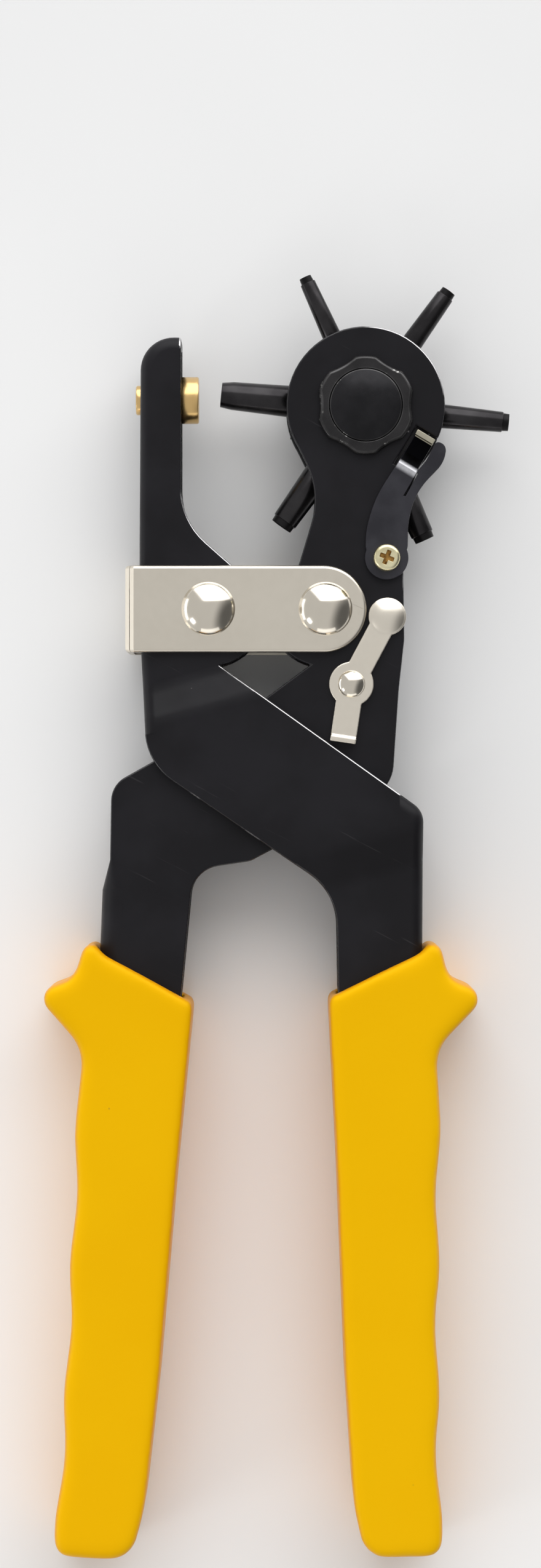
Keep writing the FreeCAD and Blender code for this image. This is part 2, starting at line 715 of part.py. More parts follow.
def hole_radius(index):
    """Half the hole that a tube cuts: the first tube is the largest, and the next after it the smallest."""
    place = (index - 1) % TUBE_COUNT
    return (SMALLEST_HOLE + (LARGEST_HOLE - SMALLEST_HOLE) * place / (TUBE_COUNT - 1)) / 2


def tube_radii(index):
    """Root, neck and edge radius of one tube."""
    hole = hole_radius(index)
    return hole + TUBE_ROOT_WALL, hole + TUBE_BODY_WALL, hole + TUBE_EDGE_WALL


def make_punch_tubes():
    """Six tapered tubes pressed into the wheel: the largest ends in a bevel, the others in a thin ring."""
    hub = hub_centre()
    tip = tip_reach()
    for index in range(TUBE_COUNT):
        root, neck, edge = tube_radii(index)
        hole = hole_radius(index)
        way = polar(CENTRE, 1, FIRST_TUBE_ANGLE - FULL_TURN / TUBE_COUNT * index)
        shank_start = WHEEL_RADIUS - TUBE_SHANK_DEPTH + SEAT_GAP
        shoulder = WHEEL_RADIUS + END_PLAY
        shank = tube_along(root - TUBE_BODY_WALL, hub + way * shank_start, way, shoulder - shank_start)
        length, end_root = (TUBE_BEVEL, neck) if index == 0 else (TUBE_RING_LENGTH, edge + TUBE_RING_TAPER)
        body = Part.makeCone(root, neck, tip - length - shoulder, hub + way * shoulder, way)
        end = Part.makeCone(end_root, edge, length, hub + way * (tip - length), way)
        tube = joined(shank, body, end)
        bore = tube_along(hole, hub + way * (shank_start + TUBE_FLOOR), way, tip + OVERRUN)
        parts["punch_tube_%d" % (index + 1)] = tube.cut(bore)


def scalloped_washer(low, high, centre):
    """A washer with lobes round its rim and a shallow hollow between each two."""
    step = FULL_TURN / LOBE_COUNT
    half_lobe = step * LOBE_WIDTH_SHARE / 2
    edges = []
    for lobe in range(LOBE_COUNT):
        middle = step * (lobe + 1 / 2)
        start, crown, stop, after = (polar(centre, WASHER_RADIUS, middle + turn)
                                     for turn in (-half_lobe, 0, half_lobe, step - half_lobe))
        hollow = polar(centre, WASHER_RADIUS - WASHER_HOLLOW, middle + step / 2)
        edges.append(Part.Arc(start, crown, stop).toShape())
        edges.append(Part.Arc(stop, hollow, after).toShape())
    face = Part.Face(Part.Wire(edges))
    face.translate(Z_WAY * low)
    washer = face.extrude(Z_WAY * (high - low))
    rim = [edge for edge in washer.Edges if abs(edge.CenterOfMass.z - high) < FINE]
    return washer.makeChamfer(WASHER_CHAMFER, rim)


def make_axle_set():
    """The axle with its front cap, the rear cap, a scalloped washer on each face and two thrust washers."""
    hub = hub_centre()
    top = LOW_OUT + WASHER_THICKNESS
    washer = scalloped_washer(LOW_OUT, top, hub)
    recess = top - CAP_RIM
    washer = washer.cut(rod(CAP_RADIUS + END_PLAY, recess, top + FINE, hub))
    washer = washer.cut(rod(AXLE_RADIUS + SEAT_GAP, LOW_OUT, top, hub))
    parts["hub_washer_front"], parts["hub_washer_rear"] = both_sides(washer)
    cap = rod(CAP_RADIUS, recess, recess + CAP_RIM, hub)
    cap = joined(cap, dome(CAP_RADIUS, CAP_DOME_HEIGHT, recess + CAP_RIM, hub))
    shaft = rod(AXLE_RADIUS, -recess - CAP_RIM, recess, hub)
    parts["wheel_axle"] = joined(cap, shaft)
    parts["axle_cap_rear"] = mirrored(cap).cut(rod(AXLE_RADIUS + SEAT_GAP, -recess - CAP_RIM, recess, hub))
    thrust = rod(THRUST_RADIUS, WHEEL_HALF_WIDTH + SEAT_GAP, WHEEL_HALF_WIDTH + THRUST_THICKNESS, hub)
    thrust = thrust.cut(rod(AXLE_RADIUS + RUNNING_GAP, 0, LOW_IN, hub))
    parts["thrust_washer_front"], parts["thrust_washer_rear"] = both_sides(thrust)


def index_screw_centre():
    return spot(*placed((INDEX_SCREW_SHARES,))[0])


def tongue_way():
    return polar(CENTRE, 1, TONGUE_ANGLE)


def tongue_start():
    return spot(*placed((TONGUE_START_SHARES,))[0])


def tongue_tip_centre():
    return tongue_start() + tongue_way() * (TONGUE_LENGTH - TONGUE_LIP - TONGUE_NIB_LENGTH / 2)


def turned_block(length_from, length_to, half_width, low, high):
    """A block in line with the tongue, from its start."""
    block = box(length_from, length_to, -half_width, half_width, low, high)
    block.rotate(CENTRE, Z_WAY, TONGUE_ANGLE)
    block.translate(tongue_start())
    return block


def index_window():
    """The window in the front plate that lets the tongue reach the wheel."""
    return turned_block(-WINDOW_MARGIN, TONGUE_LENGTH + WINDOW_MARGIN, TONGUE_WIDTH / 2 + WINDOW_MARGIN,
                        0, LOW_OUT + FINE)


def make_index_spring():
    """The leaf that stops the wheel: a base under the screw, a tongue bent into the window, and a finger."""
    low = LOW_OUT + INDEX_LIFT_GAP
    high = low + INDEX_SHEET
    screw = index_screw_centre()
    base = rod(INDEX_BASE_RADIUS_SHARE * PLATE_LENGTH, low, high, screw)
    left = placed(INDEX_LEFT_EDGE_SHARES)
    finger = placed(INDEX_FINGER_SHARES)
    start = tongue_start()
    side = tongue_way().cross(Z_WAY) * (TONGUE_WIDTH / 2)
    root_left, root_right = start - side, start + side
    leaf = slab(left + [(root_left.x, root_left.y, 0), (root_right.x, root_right.y, 0)] + finger, low, high)
    slit_end = spot(*placed((SLIT_END_SHARES,))[0])
    slit_half = SLIT_WIDTH_SHARE * PLATE_LENGTH / 2
    slit_way = root_right + tongue_way() * TONGUE_LENGTH - slit_end
    slit_way.normalize()
    across = slit_way.cross(Z_WAY)
    far = slit_end + slit_way * (root_right - slit_end).Length
    corners = [slit_end - across * slit_half, far - across * slit_half, far + across * slit_half,
               slit_end + across * slit_half]
    leaf = leaf.cut(slab([(p.x, p.y, 0) for p in corners], low - FINE, high + FINE))
    section_low = WHEEL_HALF_WIDTH + TONGUE_TIP_GAP
    dip = section_low + INDEX_SHEET / 2
    nib = TONGUE_LENGTH - TONGUE_LIP - TONGUE_NIB_LENGTH
    profile = [
        (-FINE, high), (-FINE, low), (TONGUE_RAMP, dip), (nib, dip),
        (nib + TONGUE_NIB_LENGTH / 4, section_low),
        (TONGUE_LENGTH - TONGUE_LIP / 2, section_low), (TONGUE_LENGTH, dip), (TONGUE_LENGTH, high),
        (TONGUE_LENGTH - TONGUE_LIP, high), (TONGUE_LENGTH - TONGUE_LIP, dip + INDEX_SHEET),
        (TONGUE_RAMP + INDEX_SHEET / 2, dip + INDEX_SHEET),
    ]
    corners = [spot(x, -TONGUE_WIDTH / 2, z) for x, z in profile]
    tongue = Part.Face(Part.makePolygon(corners + corners[:1])).extrude(Y_WAY * TONGUE_WIDTH)
    tongue.rotate(CENTRE, Z_WAY, TONGUE_ANGLE)
    tongue.translate(start)
    spring = joined(leaf, base, tongue)
    hole = rod(SCREW_RADIUS + INDEX_HOLE_PLAY, low - FINE, high + FINE, screw)
    parts["index_spring"] = spring.cut(hole)


def make_index_screw():
    """A pan head screw with a cross recess, tapped into the front plate."""
    screw = index_screw_centre()
    seat = LOW_OUT + INDEX_LIFT_GAP + INDEX_SHEET + SEAT_GAP
    head = rod(SCREW_HEAD_RADIUS, seat, seat + SCREW_HEAD_HEIGHT, screw)
    top = [edge for edge in bend_circles(head) if edge.CenterOfMass.z > seat + FINE]
    head = head.makeFillet(SCREW_HEAD_ROUND, top)
    floor = seat + SCREW_HEAD_HEIGHT - SCREW_RECESS_DEPTH
    along, across = SCREW_RECESS_LENGTH, SCREW_RECESS_WIDTH
    for length, width in ((along, across), (across, along)):
        slot = box(-length / 2, length / 2, -width / 2, width / 2, floor, floor + OVERRUN)
        slot.translate(screw)
        head = head.cut(slot)
    parts["index_screw"] = joined(head, rod(SCREW_RADIUS, LOW_IN, seat, screw))


def latch_pivot():
    return spot(*placed((LATCH_PIVOT_SHARES,))[0])


def crossing_edge_distance():
    """From the latch pivot to the upper edge of the crossing plate, which the latch holds."""
    shoulder = spot(*placed(ANVIL_LEVER_LEFT_SHARES)[-1][:2])
    notch = polar(PIVOT_LEFT, KNUCKLE_RADIUS, LEFT_KNUCKLE_FROM)
    way = notch - shoulder
    way.normalize()
    return abs(way.cross(latch_pivot() - shoulder).z)


def make_latch():
    """The sheet latch: an eye on the rivet, an arm that ends at the crossing plate and a domed thumb end."""
    low = LINK_IN
    high = low + LATCH_SHEET
    pivot = latch_pivot()
    reach = crossing_edge_distance() - LATCH_EDGE_GAP
    arm_half = LATCH_ARM_WIDTH / 2
    arm_length = math.sqrt(reach ** 2 - arm_half ** 2)
    arm = box(-arm_half, arm_half, -arm_length, 0, low, high)
    lip = box(-arm_half, arm_half, -arm_length, LATCH_SHEET - arm_length, low, high + LATCH_LIP)
    for piece in (arm, lip):
        piece.rotate(CENTRE, Z_WAY, -LATCH_ARM_TILT)
        piece.translate(pivot)
    thumb_reach = LINK_RIGHT_REACH + LATCH_THUMB_GAP + LATCH_THUMB_RADIUS
    thumb = PIVOT_RIGHT + spot(math.sqrt(thumb_reach ** 2 - LATCH_THUMB_DROP ** 2), -LATCH_THUMB_DROP)
    way = thumb - pivot
    neck = box(0, way.Length, -LATCH_NECK_WIDTH / 2, LATCH_NECK_WIDTH / 2, low, high)
    neck.rotate(CENTRE, Z_WAY, math.degrees(math.atan2(way.y, way.x)))
    neck.translate(pivot)
    eye = rod(LATCH_EYE_RADIUS, low, high, pivot)
    pad = rod(LATCH_THUMB_RADIUS, low, high, thumb)
    boss = dome(LATCH_THUMB_RADIUS - LATCH_THUMB_RIM, LATCH_THUMB_DOME, high, thumb)
    latch = joined(eye, arm, lip, neck, pad, boss)
    parts["latch"] = latch.cut(rod(LATCH_RIVET_RADIUS + RUNNING_GAP, low - FINE, high + FINE, pivot))


def make_latch_rivet():
    """The rivet that the latch swings on, closed over inside the front plate."""
    pivot = latch_pivot()
    seat = LINK_IN + LATCH_SHEET + RUNNING_GAP
    shaft = rod(LATCH_RIVET_RADIUS, LOW_IN, seat, pivot)
    head = dome(LATCH_RIVET_HEAD_RADIUS, LATCH_RIVET_HEAD_HEIGHT, seat, pivot)
    tail = rod(LATCH_RIVET_TAIL_RADIUS, LOW_IN - LATCH_RIVET_TAIL, LOW_IN, pivot)
    parts["latch_rivet"] = joined(shaft, head, tail)


def make_grips():
    """The two plastic grips: one outline with three finger waves, mirrored and turned for the left handle."""
    outline = placed(GRIP_SHARES, GRIP_LENGTH)
    blank = slab(outline, -GRIP_HALF_DEPTH, GRIP_HALF_DEPTH)
    rims = [edge for edge in blank.Edges if abs(abs(edge.CenterOfMass.z) - GRIP_HALF_DEPTH) < FINE]
    blank = blank.makeFillet(GRIP_ROUNDING, rims)
    right = blank.copy()
    right.translate(spot(*placed((RIGHT_GRIP_PLACE_SHARES,))[0]))
    left = blank.mirror(CENTRE, X_WAY)
    left.rotate(CENTRE, Z_WAY, -LEFT_GRIP_TURN)
    left.translate(spot(*placed((LEFT_GRIP_PLACE_SHARES,))[0]))
    for name, grip, lever in (("right", right, anvil_lever_outline()), ("left", left, wheel_lever_outline())):
        face = Part.Face(rounded_wire(lever)).makeOffset2D(GRIP_POCKET_GAP)
        depth = LOW_OUT + GRIP_POCKET_GAP
        face.translate(Z_WAY * -depth)
        parts["grip_" + name] = grip.cut(face.extrude(Z_WAY * (2 * depth)))


def main():
    make_link()
    make_link_rivets()
    make_opening_spring()
    make_anvil_lever()
    make_anvil()
    make_wheel_lever()
    make_punch_wheel()
    make_punch_tubes()
    make_axle_set()
    make_index_spring()
    make_index_screw()
    make_latch()
    make_latch_rivet()
    make_grips()

    whole = Part.makeCompound(list(parts.values())).optimalBoundingBox(False, False)
    origin = spot(whole.Center.x, whole.Center.y, whole.ZMin)
    for name, shape in parts.items():
        shape.translate(-origin)
        shape.exportStep("parts/%s.step" % name)
        facts = (name, shape.Volume, len(shape.Solids), shape.isValid())
        print("%-22s %8.1f mm3, %d solid, valid %s" % facts)
    print("midway between the link pivots is at %.3f, %.3f, %.3f" % tuple(-origin))
    print("size %.2f x %.2f x %.2f mm" % (whole.XLength, whole.YLength, whole.ZLength))


main()
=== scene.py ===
"""The looks of the revolving hole punch pliers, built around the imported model."""

import logging
import math
from dataclasses import dataclass
from enum import Enum
from functools import cache
from typing import Callable

import bpy
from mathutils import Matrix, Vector
from mathutils.bvhtree import BVHTree


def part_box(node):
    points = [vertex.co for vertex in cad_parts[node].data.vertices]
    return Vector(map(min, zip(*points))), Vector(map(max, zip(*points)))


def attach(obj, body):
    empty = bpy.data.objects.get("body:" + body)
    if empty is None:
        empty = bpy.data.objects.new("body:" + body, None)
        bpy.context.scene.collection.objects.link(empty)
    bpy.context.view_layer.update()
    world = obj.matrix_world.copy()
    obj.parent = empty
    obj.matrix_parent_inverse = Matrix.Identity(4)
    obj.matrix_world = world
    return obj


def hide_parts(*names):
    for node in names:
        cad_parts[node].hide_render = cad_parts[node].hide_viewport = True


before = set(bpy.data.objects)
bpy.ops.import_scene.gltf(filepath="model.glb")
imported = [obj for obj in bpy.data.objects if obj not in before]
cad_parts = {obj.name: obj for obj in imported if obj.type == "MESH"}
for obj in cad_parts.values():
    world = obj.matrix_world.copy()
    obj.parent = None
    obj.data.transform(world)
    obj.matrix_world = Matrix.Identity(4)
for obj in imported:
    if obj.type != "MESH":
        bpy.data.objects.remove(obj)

log = logging.getLogger("punch_pliers")

MM = 0.001
UP = Vector((0, 0, 1))
MERGE_DISTANCE = 1e-6
FLAT_ANGLE = math.radians(0.3)
SMOOTH_ANGLE = math.radians(30)
SHARP_ANGLE = math.radians(40)
STRAY_SHARE = 0.55
FLAT_SHARE = 0.93
CORNER_SHARE = 0.3
LEAST_SLANT = 0.01
DOME_RINGS = 14
CROWN_GAP = 0.5
CURVED_SIDES = 9
FINE_SIDES = 96

Pair = tuple[float, float]
Triple = tuple[float, float, float]
Profile = list[Pair]
Piece = bpy.types.Object
Socket = bpy.types.NodeSocket
Feeds = dict[str | int, Socket | float | tuple[float, ...] | Vector]
Choice = Callable[[Vector, Vector], bool]


class Side(Enum):
    """The left or the right of the tool, as the camera sees it."""

    LEFT = "left"
    RIGHT = "right"


class Facing(Enum):
    """Which way a turned piece looks: out of the front or out of the back."""

    FRONT = 1
    REAR = -1


class Body(Enum):
    """The moving bodies of the tool."""

    LINK = "link"
    ANVIL_ARM = "anvil_arm"
    WHEEL_ARM = "wheel_arm"
    TURRET = "turret"
    INDEX_LEAF = "index_leaf"
    LATCH_ARM = "latch_arm"


class Slot(Enum):
    """The names of the material slots."""

    BLACK_PAINT = "black_paint"
    BLACK_STEEL = "black_steel"
    TUBE_STEEL = "tube_steel"
    SPRING_STEEL = "spring_steel"
    NICKEL = "nickel"
    YELLOW_ZINC = "yellow_zinc"
    BRASS = "brass"
    GRIP_PLASTIC = "grip_plastic"


@dataclass(frozen=True)
class Cloud:
    """A noise pattern: waves in a metre, octaves, the span of noise that it uses and the levels it gives."""

    scale: float
    detail: float = 3.0
    span: Pair = (0.3, 0.7)
    levels: Pair = (0.0, 1.0)
    rough: float = 0.5


@dataclass(frozen=True)
class Specks:
    """Sparse round specks: cells in a metre, radius in cells, share of cells with one, and its solid core."""

    scale: float
    size: float
    share: float
    core: float = 0.6


class Nodes:
    """A small writer of shader nodes."""

    def __init__(self, tree: bpy.types.NodeTree) -> None:
        """Start writing into a node tree."""
        self.tree = tree

    def feed(self, node: bpy.types.Node, feeds: Feeds) -> None:
        """Give some inputs of a node a link or an even value.

        Args:
            node: The node.
            feeds: An output, a number, a colour or a vector for each input.
        """
        for key, value in feeds.items():
            if isinstance(value, Socket):
                self.tree.links.new(value, node.inputs[key])
            else:
                node.inputs[key].default_value = value

    def node(self, kind: str, feeds: Feeds, **settings: str) -> bpy.types.Node:
        """Add one node.

        Args:
            kind: The end of the node's type name.
            feeds: What its inputs get.
            settings: Properties of the node, such as its operation.

        Returns:
            The new node.
        """
        made = self.tree.nodes.new("ShaderNode" + kind)
        for key, value in settings.items():
            setattr(made, key, value)
        self.feed(made, feeds)
        return made

    def dot(self, place: Socket, way: Vector) -> Socket:
        """How far a place or a direction reaches one way."""
        return self.node("VectorMath", {0: place, 1: way}, operation="DOT_PRODUCT").outputs["Value"]

    def ranged(self, value: Socket, low: float, high: float, start: float = 0.0, stop: float = 1.0) -> Socket:
        """A value taken from one range to another.

        Args:
            value: The value to change.
            low: Where the source range starts.
            high: Where the source range ends.
            start: What the low end becomes.
            stop: What the high end becomes.

        Returns:
            The clamped result.
        """
        feeds = {"Value": value, "From Min": low, "From Max": high, "To Min": start, "To Max": stop}
        return self.node("MapRange", feeds, interpolation_type="SMOOTHSTEP").outputs["Result"]


class Graph(Nodes):
    """The nodes of one material, around its Principled surface."""

    def __init__(self, name: str) -> None:
        """Start a material.

        Args:
            name: The material's name.
        """
        self.material = bpy.data.materials.new(name)
        self.material.use_nodes = True
        super().__init__(self.material.node_tree)
        self.surface = self.tree.nodes["Principled BSDF"]
        coordinates = self.node("TexCoord", {})
        self.place = coordinates.outputs["Object"]
        self.normal = coordinates.outputs["Normal"]

    def mapped(self, stretch: Triple, turn: float = 0.0) -> Socket:
        """The object's own coordinates, turned about Z and stretched.

        Args:
            stretch: Scale along each axis.
            turn: Turn about Z in degrees.

        Returns:
            The mapped coordinates.
        """
        turned_place = self.node("Mapping", {"Vector": self.place, "Rotation": (0, 0, math.radians(turn))})
        scaled = self.node("Mapping", {"Vector": turned_place.outputs["Vector"], "Scale": stretch})
        return scaled.outputs["Vector"]

    def noise(self, cloud: Cloud, place: Socket | None = None) -> Socket:
        """A pattern's plain noise.

        Args:
            cloud: The pattern.
            place: Coordinates, or none for the piece's own.

        Returns:
            The noise from 0 to 1.
        """
        feeds = {"Vector": place or self.place, "Scale": cloud.scale, "Detail": cloud.detail,
                 "Roughness": cloud.rough}
        return self.node("TexNoise", feeds).outputs["Fac"]

    def cloud(self, cloud: Cloud, place: Socket | None = None) -> Socket:
        """A pattern's noise taken to its levels, on the piece's own or on other coordinates."""
        return self.ranged(self.noise(cloud, place), *cloud.span, *cloud.levels)

    def math(self, operation: str, first: Socket, second: Socket | float = 0.0) -> Socket:
        """One sum of a value with another value or a number, by the name of the sum."""
        return self.node("Math", {0: first, 1: second}, operation=operation).outputs["Value"]

    def blend(self, share: Socket, first: Triple | Socket, second: Triple | Socket) -> Socket:
        """Two colours mixed by a share.

        Args:
            share: 0 for the first, 1 for the second.
            first: A colour or a colour socket.
            second: A colour or a colour socket.

        Returns:
            The mixed colour.
        """
        feeds = {0: share}
        for key, colour in ((6, first), (7, second)):
            feeds[key] = (*colour, 1) if isinstance(colour, tuple) else colour
        return self.node("Mix", feeds, data_type="RGBA").outputs[2]

    def specks(self, pattern: Specks) -> Socket:
        """Sparse round specks over the piece.

        Args:
            pattern: The specks.

        Returns:
            A mask, 1 in a speck.
        """
        cells = self.node("TexVoronoi", {"Vector": self.place, "Scale": pattern.scale})
        spot = self.ranged(cells.outputs["Distance"], pattern.size * pattern.core, pattern.size, 1.0, 0.0)
        parted = self.node("SeparateColor", {"Color": cells.outputs["Color"]})
        return self.math("MULTIPLY", spot, self.math("LESS_THAN", parted.outputs[0], pattern.share))

    def distance_along(self, way: Vector, start: Vector) -> Socket:
        """How many metres a place lies from a start, measured one way."""
        return self.math("SUBTRACT", self.dot(self.place, way), start.dot(way))

    def facing(self, azimuth: float) -> Socket:
        """How far a slanting surface faces one way along the tool's flat.

        Args:
            azimuth: The way in degrees, from the X axis.

        Returns:
            The share, from -1 to 1, whatever the surface's slant.
        """
        turn = math.radians(azimuth)
        towards = self.dot(self.normal, Vector((math.cos(turn), math.sin(turn), 0)))
        flat = self.node("VectorMath", {0: self.normal, 1: (1, 1, 0)}, operation="MULTIPLY").outputs["Vector"]
        slant = self.node("VectorMath", {0: flat}, operation="LENGTH").outputs["Value"]
        return self.math("DIVIDE", towards, self.math("MAXIMUM", slant, LEAST_SLANT))

    def relief(self, height: Socket, depth: float) -> None:
        """Raise the surface by a height field, whose 1 stands for a depth in metres."""
        bump = self.node("Bump", {"Strength": 1.0, "Distance": depth, "Height": height})
        self.fix(Normal=bump.outputs["Normal"])

    def fix(self, **values: Socket | float | tuple[float, ...]) -> None:
        """Set the surface's own sockets by links or even values, with underscores for spaces."""
        self.feed(self.surface, {key.replace("_", " "): value for key, value in values.items()})


@dataclass(frozen=True)
class Finish:
    """A finish with a name, made once and then shared."""

    name: str

    def material(self) -> bpy.types.Material:
        """The finish as a material.

        Returns:
            The material, the same one each time.
        """
        found = bpy.data.materials.get(self.name)
        if found is None:
            graph = Graph(self.name)
            self.write(graph)
            found = graph.material
        return found

    def write(self, graph: Graph) -> None:
        """Write the finish's nodes."""
        raise NotImplementedError


@dataclass(frozen=True)
class PaintedSteel(Finish):
    """Satin black paint on pressed sheet, with dust, faint rubs and a fine grain."""

    dark: Triple = (0.0078, 0.0073, 0.0090)
    light: Triple = (0.0118, 0.0112, 0.0138)
    tone: Cloud = Cloud(55.0, 4.0, (0.35, 0.65))
    dust: Triple = (0.20, 0.19, 0.20)
    dust_specks: Specks = Specks(230.0, 0.05, 0.08)
    rub: Cloud = Cloud(1.0, 3.0, (0.70, 0.78), (0.0, 0.08))
    rub_stretch: Triple = (60.0, 1400.0, 60.0)
    rub_turn: float = 28.0
    gloss: Cloud = Cloud(140.0, levels=(0.34, 0.44))
    shine: float = 0.16
    grain: Cloud = Cloud(1500.0, 2.0)
    grain_depth: float = 0.010 * MM

    def write(self, graph: Graph) -> None:
        """Write the paint's nodes.

        Args:
            graph: The material that they go into.
        """
        colour = graph.blend(graph.cloud(self.tone), self.dark, self.light)
        rub = graph.cloud(self.rub, graph.mapped(self.rub_stretch, self.rub_turn))
        colour = graph.blend(rub, colour, self.dust)
        colour = graph.blend(graph.specks(self.dust_specks), colour, self.dust)
        graph.relief(graph.noise(self.grain), self.grain_depth)
        graph.fix(Base_Color=colour, Roughness=graph.cloud(self.gloss), Specular_IOR_Level=self.shine)


@dataclass(frozen=True)
class ShearedEdge(Finish):
    """The rounded corner of a sheared edge: bare steel on the sides that face the light, as a painted
    highlight, and in worn patches; thin paint on the others.
    """

    paint: Triple = (0.012, 0.0115, 0.0135)
    steel: Triple = (0.60, 0.59, 0.60)
    # Edges that face this way, and less the opposite way, turn bare: a painted highlight where they would
    # catch the light.
    highlight_way: float = 50.0
    highlight_share: float = 0.66
    far_highlight_share: float = 0.72
    patch: Cloud = Cloud(90.0, 5.0, rough=0.6)
    patch_share: float = 0.42
    bare: Pair = (0.69, 0.80)
    metal: float = 0.95
    gloss: Cloud = Cloud(900.0, 2.0, (0.2, 0.8), (0.20, 0.34))
    shine: float = 0.45
    grain: Cloud = Cloud(1800.0, 2.0)
    grain_depth: float = 0.008 * MM

    def write(self, graph: Graph) -> None:
        """Write the nodes of the worn edge and its painted highlight.

        Args:
            graph: The material that they go into.
        """
        # rubbed is the painted highlight share, set by facing; the noise patch adds real wear
        facing = graph.facing(self.highlight_way)
        far = graph.math("MULTIPLY", facing, -self.far_highlight_share)
        rubbed = graph.math("MULTIPLY", graph.math("MAXIMUM", facing, far), self.highlight_share)
        patch = graph.math("MULTIPLY", graph.noise(self.patch), self.patch_share)
        bare = graph.ranged(graph.math("ADD", rubbed, patch), *self.bare)
        graph.relief(graph.noise(self.grain), self.grain_depth)
        graph.fix(Base_Color=graph.blend(bare, self.paint, self.steel), Roughness=graph.cloud(self.gloss),
                  Metallic=graph.ranged(bare, 0.0, 1.0, 0.0, self.metal), Specular_IOR_Level=self.shine)


@dataclass(frozen=True)
class LeafSteel(Finish):
    """Blued spring steel, with a painted highlight across the tongue where it starts to bend and painted
    shade on the tongue beyond it.
    """

    dark: Triple = (0.027, 0.0264, 0.0322)
    light: Triple = (0.0435, 0.0428, 0.0505)
    tone: Cloud = Cloud(170.0, 4.0)
    # band is a painted highlight, the light that the bend would catch; shade is painted shade on the tongue
    # past it
    band: Triple = (0.58, 0.58, 0.61)
    shade: Triple = (0.0030, 0.0030, 0.0036)
    highlight_rise: Pair = (-1.5 * MM, -0.5 * MM)
    highlight_to_shade: Pair = (-0.1 * MM, 0.9 * MM)
    side_shares: Pair = (0.48, 0.53)
    scratch: Cloud = Cloud(1100.0, 3.0, (0.25, 0.75), (0.8, 1.0))
    scratch_depth: float = 0.003 * MM
    metal: Pair = (0.4, 1.0)
    gloss: Pair = (0.28, 0.36)
    shine: float = 0.22

    def write(self, graph: Graph) -> None:
        """Write the leaf's nodes.

        Args:
            graph: The material that they go into.
        """
        forward = graph.distance_along(TONGUE.way, TONGUE.origin)
        beside = graph.math("ABSOLUTE", graph.distance_along(TONGUE.side, TONGUE.origin))
        narrow, wide = (TONGUE.width * share for share in self.side_shares)
        on_tongue = graph.ranged(beside, narrow, wide, 1.0, 0.0)
        scratch = graph.cloud(self.scratch)
        # share: the painted highlight across the bend, on the tongue alone
        share = graph.ranged(forward, *self.highlight_rise)
        for mask in (graph.ranged(forward, *self.highlight_to_shade, 1.0, 0.0), on_tongue, scratch):
            share = graph.math("MULTIPLY", share, mask)
        # painted shade on the tongue past the bend
        painted_shade_past_bend = graph.math("MULTIPLY", graph.ranged(forward, *self.highlight_to_shade), on_tongue)
        steel = graph.blend(graph.cloud(self.tone), self.dark, self.light)
        colour = graph.blend(share, graph.blend(painted_shade_past_bend, steel, self.shade), self.band)
        graph.relief(scratch, self.scratch_depth)
        graph.fix(Base_Color=colour, Roughness=graph.ranged(scratch, *self.scratch.levels, *self.gloss),
                  Metallic=graph.ranged(graph.math("MAXIMUM", share, painted_shade_past_bend), 0.0, 1.0, *self.metal),
                  Specular_IOR_Level=self.shine)


@dataclass(frozen=True)
class DarkSteel(Finish):
    """Blackened steel of washers, caps, tubes and springs, with a turned or rolled grain."""

    dark: Triple = (0.011, 0.0105, 0.0115)
    light: Triple = (0.020, 0.0190, 0.0200)
    tone: Cloud = Cloud(170.0, 4.0)
    metal: float = 0.45
    gloss: Pair = (0.30, 0.42)
    shine: float = 0.22
    grain: Cloud = Cloud(1.0)
    grain_stretch: Triple = (700.0, 700.0, 700.0)
    grain_depth: float = 0.004 * MM
    wear: Triple = (0.16, 0.155, 0.15)
    wear_share: float = 0.08
    wear_cloud: Cloud = Cloud(420.0, 5.0, (0.62, 0.76), rough=0.7)

    def write(self, graph: Graph) -> None:
        """Write the steel's nodes.

        Args:
            graph: The material that they go into.
        """
        colour = graph.blend(graph.cloud(self.tone), self.dark, self.light)
        worn = graph.math("MULTIPLY", graph.cloud(self.wear_cloud), self.wear_share)
        grain = graph.noise(self.grain, graph.mapped(self.grain_stretch))
        graph.relief(grain, self.grain_depth)
        graph.fix(Base_Color=graph.blend(worn, colour, self.wear), Metallic=self.metal,
                  Roughness=graph.ranged(grain, *self.grain.span, *self.gloss), Specular_IOR_Level=self.shine)


@dataclass(frozen=True)
class PlatedSteel(Finish):
    """Bright plated or turned metal with a faint grain and soft stains."""

    dark: Triple = (0.720, 0.666, 0.572)
    light: Triple = (0.748, 0.694, 0.600)
    gloss: Pair = (0.28, 0.31)
    stain: Cloud = Cloud(60.0)
    stain_share: float = 0.75
    stain_span: Pair = (0.32, 0.68)
    grain: Cloud = Cloud(1.0)
    grain_stretch: Triple = (800.0, 620.0, 700.0)
    grain_depth: float = 0.0008 * MM

    def write(self, graph: Graph) -> None:
        """Write the plating's nodes.

        Args:
            graph: The material that they go into.
        """
        grain = graph.noise(self.grain, graph.mapped(self.grain_stretch))
        stain = graph.math("MULTIPLY", graph.noise(self.stain), self.stain_share)
        both = graph.math("ADD", stain, graph.math("MULTIPLY", grain, 1 - self.stain_share))
        colour = graph.blend(graph.ranged(both, *self.stain_span), self.dark, self.light)
        graph.relief(grain, self.grain_depth)
        rough = graph.ranged(grain, *self.grain.span, *self.gloss)
        graph.fix(Base_Color=colour, Roughness=rough, Metallic=1.0)


